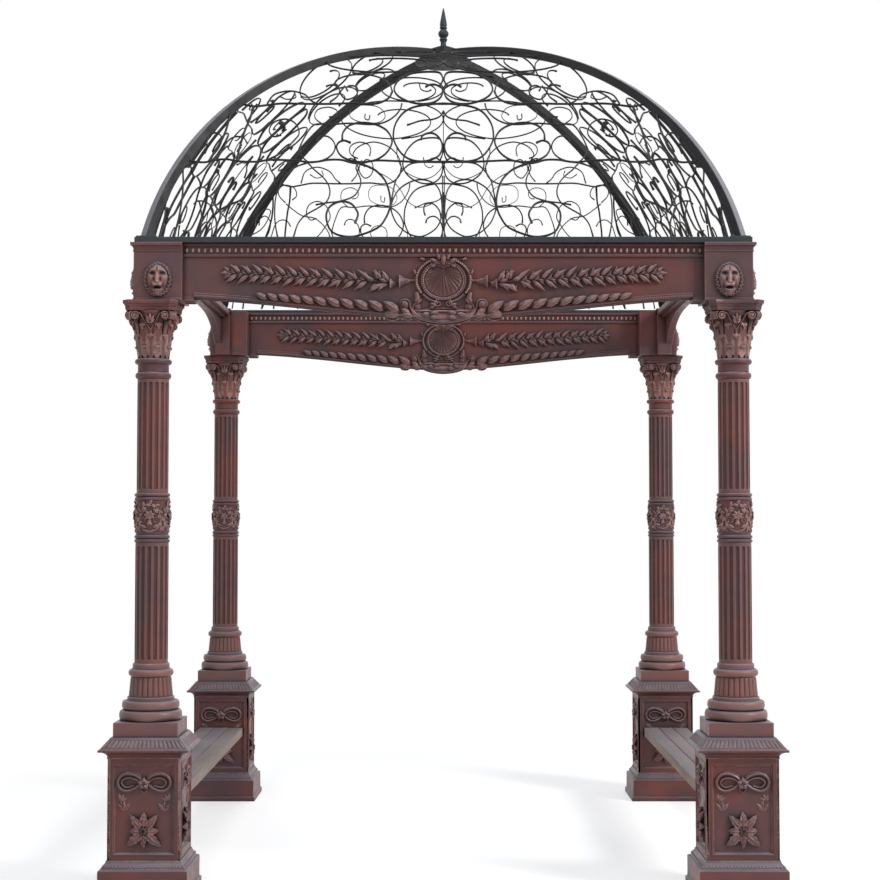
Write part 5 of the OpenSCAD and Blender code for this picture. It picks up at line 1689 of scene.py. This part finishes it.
def bench_body(s, node):
    """Planks with worn edges, side by side. Returns the body and the number of points of one plank."""
    low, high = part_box(node)
    count = s.planks
    wide = (high.x - low.x - s.gap * (count - 1)) / count
    e = s.edge
    stations = np.linspace(low.y, high.y, 24)
    rng = np.random.default_rng(21)
    parts = []
    for k in range(count):
        x0 = low.x + k * (wide + s.gap)
        x1 = x0 + wide
        rows = []
        for i, y in enumerate(stations):
            dip = 1.2 * MM * math.sin(3.1 * i / len(stations) + k)
            worn = e * (0.7 + 0.6 * rng.random())
            soft = worn * 0.3
            top = high.z - abs(dip)
            section = [(x0 + soft, low.z), (x0, low.z + e), (x0, top - worn)]
            section += [(x0 + soft, top - soft), (x0 + worn, top), ((x0 + x1) / 2, top - 0.8 * MM)]
            section += [(x1 - worn, top), (x1 - soft, top - soft), (x1, top - worn)]
            section += [(x1, low.z + e), (x1 - soft, low.z)]
            rows.append([(x, y, z) for x, z in section])
        parts.append(skin(rows))
    return joined(*parts), len(parts[0][0])


# ---- Operators ----

metals = {}
trees = {}


def get_sizes():
    """The sizes and finishes that the scene holds."""
    return bpy.context.scene.gazebo


def group_property(name, description, group):
    """A property that holds a group of settings."""
    return bpy.props.PointerProperty(name=name, description=description, type=group)


class GazeboSettings(bpy.types.PropertyGroup):
    """Everything that a user may change."""

    pedestal: group_property("Pedestals", "Sizes of the pedestals", PedestalSizes)
    column: group_property("Columns", "Sizes of the columns", ColumnSizes)
    beam: group_property("Beams", "Sizes of the blocks and beams", BeamSizes)
    dome: group_property("Dome", "Sizes of the dome", DomeSizes)
    bench: group_property("Benches", "Sizes of the benches", BenchSizes)
    finish: group_property("Finishes", "Colours of the materials", Finishes)


class GAZEBO_OT_prepare(bpy.types.Operator):
    """Makes the materials and the node trees that the pieces share"""

    bl_idname = "gazebo.prepare"
    bl_label = "Prepare materials"

    def execute(self, context):
        colours = get_sizes().finish
        metals["iron"] = cast_iron(colours)
        metals["forged"] = forged_iron(colours)
        metals["steel"] = painted_steel(colours)
        metals["timber"] = weathered_timber(colours)
        trees["placed"] = placed_copies_tree()
        trees["beads"] = bead_row_tree()
        trees["bars"] = bent_bar_tree()
        return {"FINISHED"}


class GAZEBO_OT_pedestals(bpy.types.Operator):
    """Makes the four pedestals"""

    bl_idname = "gazebo.pedestals"
    bl_label = "Pedestals"

    def execute(self, context):
        body = moved(pedestal_body(get_sizes().pedestal), column_place())
        set_around(CORNERS, "pedestal", "pedestal", "iron", body)
        return {"FINISHED"}


class GAZEBO_OT_columns(bpy.types.Operator):
    """Makes the column bases, shafts, collars and capitals"""

    bl_idname = "gazebo.columns"
    bl_label = "Columns"

    def execute(self, context):
        s = get_sizes().column
        for kind, body in (
            ("column_base", column_base_body(s)),
            ("lower_shaft", shaft_body(s, "lower_shaft_front_left", s.lower_radius)),
            ("collar", collar_body(s)),
            ("upper_shaft", shaft_body(s, "upper_shaft_front_left", s.upper_radius)),
            ("capital", capital_body(s)),
        ):
            set_around(CORNERS, kind, kind, "iron", moved(body, column_place()))
        return {"FINISHED"}


class GAZEBO_OT_beams(bpy.types.Operator):
    """Makes the corner blocks with their lion masks and the ornamented beams"""

    bl_idname = "gazebo.beams"
    bl_label = "Blocks and beams"

    def execute(self, context):
        s = get_sizes().beam
        set_around(CORNERS, "block", "corner_block", "iron", block_body(s))
        set_around(SIDES, "entablature", "beam", "iron", beam_body(s), arched_beam_body(s))
        return {"FINISHED"}


class GAZEBO_OT_dome(bpy.types.Operator):
    """Makes the steel frame, ribs, crown, finial and scrollwork"""

    bl_idname = "gazebo.dome"
    bl_label = "Dome"

    def execute(self, context):
        d = get_sizes().dome
        finish_piece("steel_frame", steel_frame_body(d), "steel", "dome_frame")
        finish_piece("crown_plate", crown_body(d), "forged", "crown")
        finish_piece("spike", finial_body(), "steel", "finial")
        for piece in set_around(CORNERS, "rib", "rib", "forged", rib_body(d)):
            # The first two of the eight points around a rib are on its outer face, which is painted pale grey
            mark_points(piece, "outer", [float(i % 8 < 2) for i in range(len(piece.data.vertices))])
        set_around(SIDES, "scrollwork", "scrolls", "forged", scroll_side_body(d))
        return {"FINISHED"}


class GAZEBO_OT_benches(bpy.types.Operator):
    """Makes the two plank benches"""

    bl_idname = "gazebo.benches"
    bl_label = "Benches"

    def execute(self, context):
        s = get_sizes().bench
        for k, side in enumerate(("left", "right")):
            body, size = bench_body(s, f"{side}_bench")
            piece = finish_piece(f"{side}_seat", body, "timber", f"{side}_bench")
            mark_points(piece, "board", [1.0 + 0.37 * (i // size) + 1.9 * k for i in range(len(body[0]))])
        return {"FINISHED"}


def lamp(name, spot, aim, energy, size, colour):
    """An area lamp, aimed at a point."""
    data = bpy.data.lights.new(name, "AREA")
    data.energy = energy
    data.size = size
    data.color = colour
    item = bpy.data.objects.new(name, data)
    item.location = spot
    item.rotation_euler = (Vector(aim) - Vector(spot)).to_track_quat("-Z", "Y").to_euler()
    bpy.context.scene.collection.objects.link(item)


def white_to_camera(tree, lit, white):
    """Shows a white surface to the camera and in reflections, and the lit one to everything else."""
    path = add_node(tree, "ShaderNodeLightPath", {}, {})
    seen = path.outputs["Is Camera Ray"]
    for ray in ("Is Glossy Ray", "Is Transmission Ray"):
        settings = {"operation": "ADD", "use_clamp": True}
        seen = add_node(tree, "ShaderNodeMath", settings, {0: seen, 1: path.outputs[ray]}).outputs[0]
    return add_node(tree, "ShaderNodeMixShader", {}, {0: seen, 1: lit, 2: white}).outputs[0]


class GAZEBO_OT_stage(bpy.types.Operator):
    """Makes the floor, the lamps, the world and the camera"""

    bl_idname = "gazebo.stage"
    bl_label = "Stage"

    def execute(self, context):
        scene = context.scene
        scene.view_settings.view_transform = "Standard"
        world = bpy.data.worlds.new("Studio")
        scene.world = world
        world.use_nodes = True
        tree = world.node_tree
        plain = feed(tree, tree.nodes["Background"], {"Color": (0.80, 0.86, 0.95, 1), "Strength": 0.3})
        bright = add_node(tree, "ShaderNodeBackground", {}, {"Color": (1, 1, 1, 1), "Strength": 1.0})
        shown = white_to_camera(tree, plain.outputs[0], bright.outputs[0])
        feed(tree, tree.nodes["World Output"], {"Surface": shown})

        f = FLOOR_HALF
        slab = skin([[(-f, -f, z), (f, -f, z), (f, f, z), (-f, f, z)] for z in (-20 * MM, 0)])
        floor = bpy.data.objects.new("floor", fresh_mesh(slab, "floor"))
        scene.collection.objects.link(floor)
        material, tree, shader, place = fresh_material("Matt floor, pale paint")
        pale = get_sizes().finish.ground
        near = tuple(c * 0.97 for c in pale)
        feed(tree, shader, {"Base Color": blend(tree, noise(tree, place, 900), pale, near), "Roughness": 0.9})
        # The floor keeps the shadow near the gazebo and is plain white further out
        far = add_node(tree, "ShaderNodeVectorMath", {"operation": "LENGTH"}, {0: place}).outputs["Value"]
        glow, white = [
            add_node(tree, "ShaderNodeEmission", {}, {"Color": (1, 1, 1, 1), "Strength": strength}).outputs[0]
            for strength in (0.42, 1.0)
        ]
        lifted = add_node(tree, "ShaderNodeAddShader", {}, {0: shader.outputs[0], 1: glow}).outputs[0]
        inputs = {0: share(tree, far, 2.2, 3.6), 1: lifted, 2: white}
        whole = add_node(tree, "ShaderNodeMixShader", {}, inputs).outputs[0]
        shown = white_to_camera(tree, shader.outputs[0], whole)
        feed(tree, tree.nodes["Material Output"], {"Surface": shown})
        floor.data.materials.append(material)

        lamp("main", (8.0, -5.5, 6.5), (0, 0, 1.8), 780, 3.0, (1.0, 0.99, 0.98))
        lamp("fill", (-4.0, -9.0, 4.0), (0, 0, 1.8), 95, 4.0, (1.0, 0.98, 0.95))
        lamp("top", (-1.5, -3.0, 8.0), (0, 0, 0), 150, 2.0, (0.97, 0.98, 1.0))
        lamp("back", (1.5, 8.0, 7.0), (0, 0, 2.0), 130, 5.0, (1.0, 0.98, 0.96))

        # A standing eye 9 m in front of the middle, looking slightly up
        camera = bpy.data.cameras.new("camera")
        camera.lens = 70.5
        camera.sensor_width = 36
        camera.shift_x = -0.00386
        eye = bpy.data.objects.new("camera", camera)
        eye.location = (0, -9.004, 1.637)
        eye.rotation_euler = (math.radians(92.64), 0, 0)
        scene.collection.objects.link(eye)
        scene.camera = eye
        return {"FINISHED"}


class GAZEBO_PT_panel(bpy.types.Panel):
    """The gazebo's pieces and settings."""

    bl_idname = "GAZEBO_PT_panel"
    bl_label = "Cast iron gazebo"
    bl_space_type = "VIEW_3D"
    bl_region_type = "UI"
    bl_category = "Gazebo"

    def draw(self, context):
        for step in STEPS:
            self.layout.operator(step.bl_idname)
        for name in GazeboSettings.__annotations__:
            group = getattr(get_sizes(), name)
            box = self.layout.box()
            box.label(text=name.capitalize())
            for size in group.__annotations__:
                box.prop(group, size)


STEPS = (
    GAZEBO_OT_prepare,
    GAZEBO_OT_pedestals,
    GAZEBO_OT_columns,
    GAZEBO_OT_beams,
    GAZEBO_OT_dome,
    GAZEBO_OT_benches,
    GAZEBO_OT_stage,
)
GROUPS = (PedestalSizes, ColumnSizes, BeamSizes, DomeSizes, BenchSizes, Finishes, GazeboSettings)
CLASSES = GROUPS + STEPS + (GAZEBO_PT_panel,)


def register():
    """Adds the settings, the operators and the panel."""
    for item in CLASSES:
        bpy.utils.register_class(item)
    bpy.types.Scene.gazebo = bpy.props.PointerProperty(type=GazeboSettings)


def unregister():
    """Takes them away again."""
    del bpy.types.Scene.gazebo
    for item in reversed(CLASSES):
        bpy.utils.unregister_class(item)


def main():
    """Adds the settings and builds everything in order."""
    register()
    for step in STEPS:
        group, name = step.bl_idname.split(".")
        getattr(getattr(bpy.ops, group), name)()


if __name__ == "__main__":
    main()
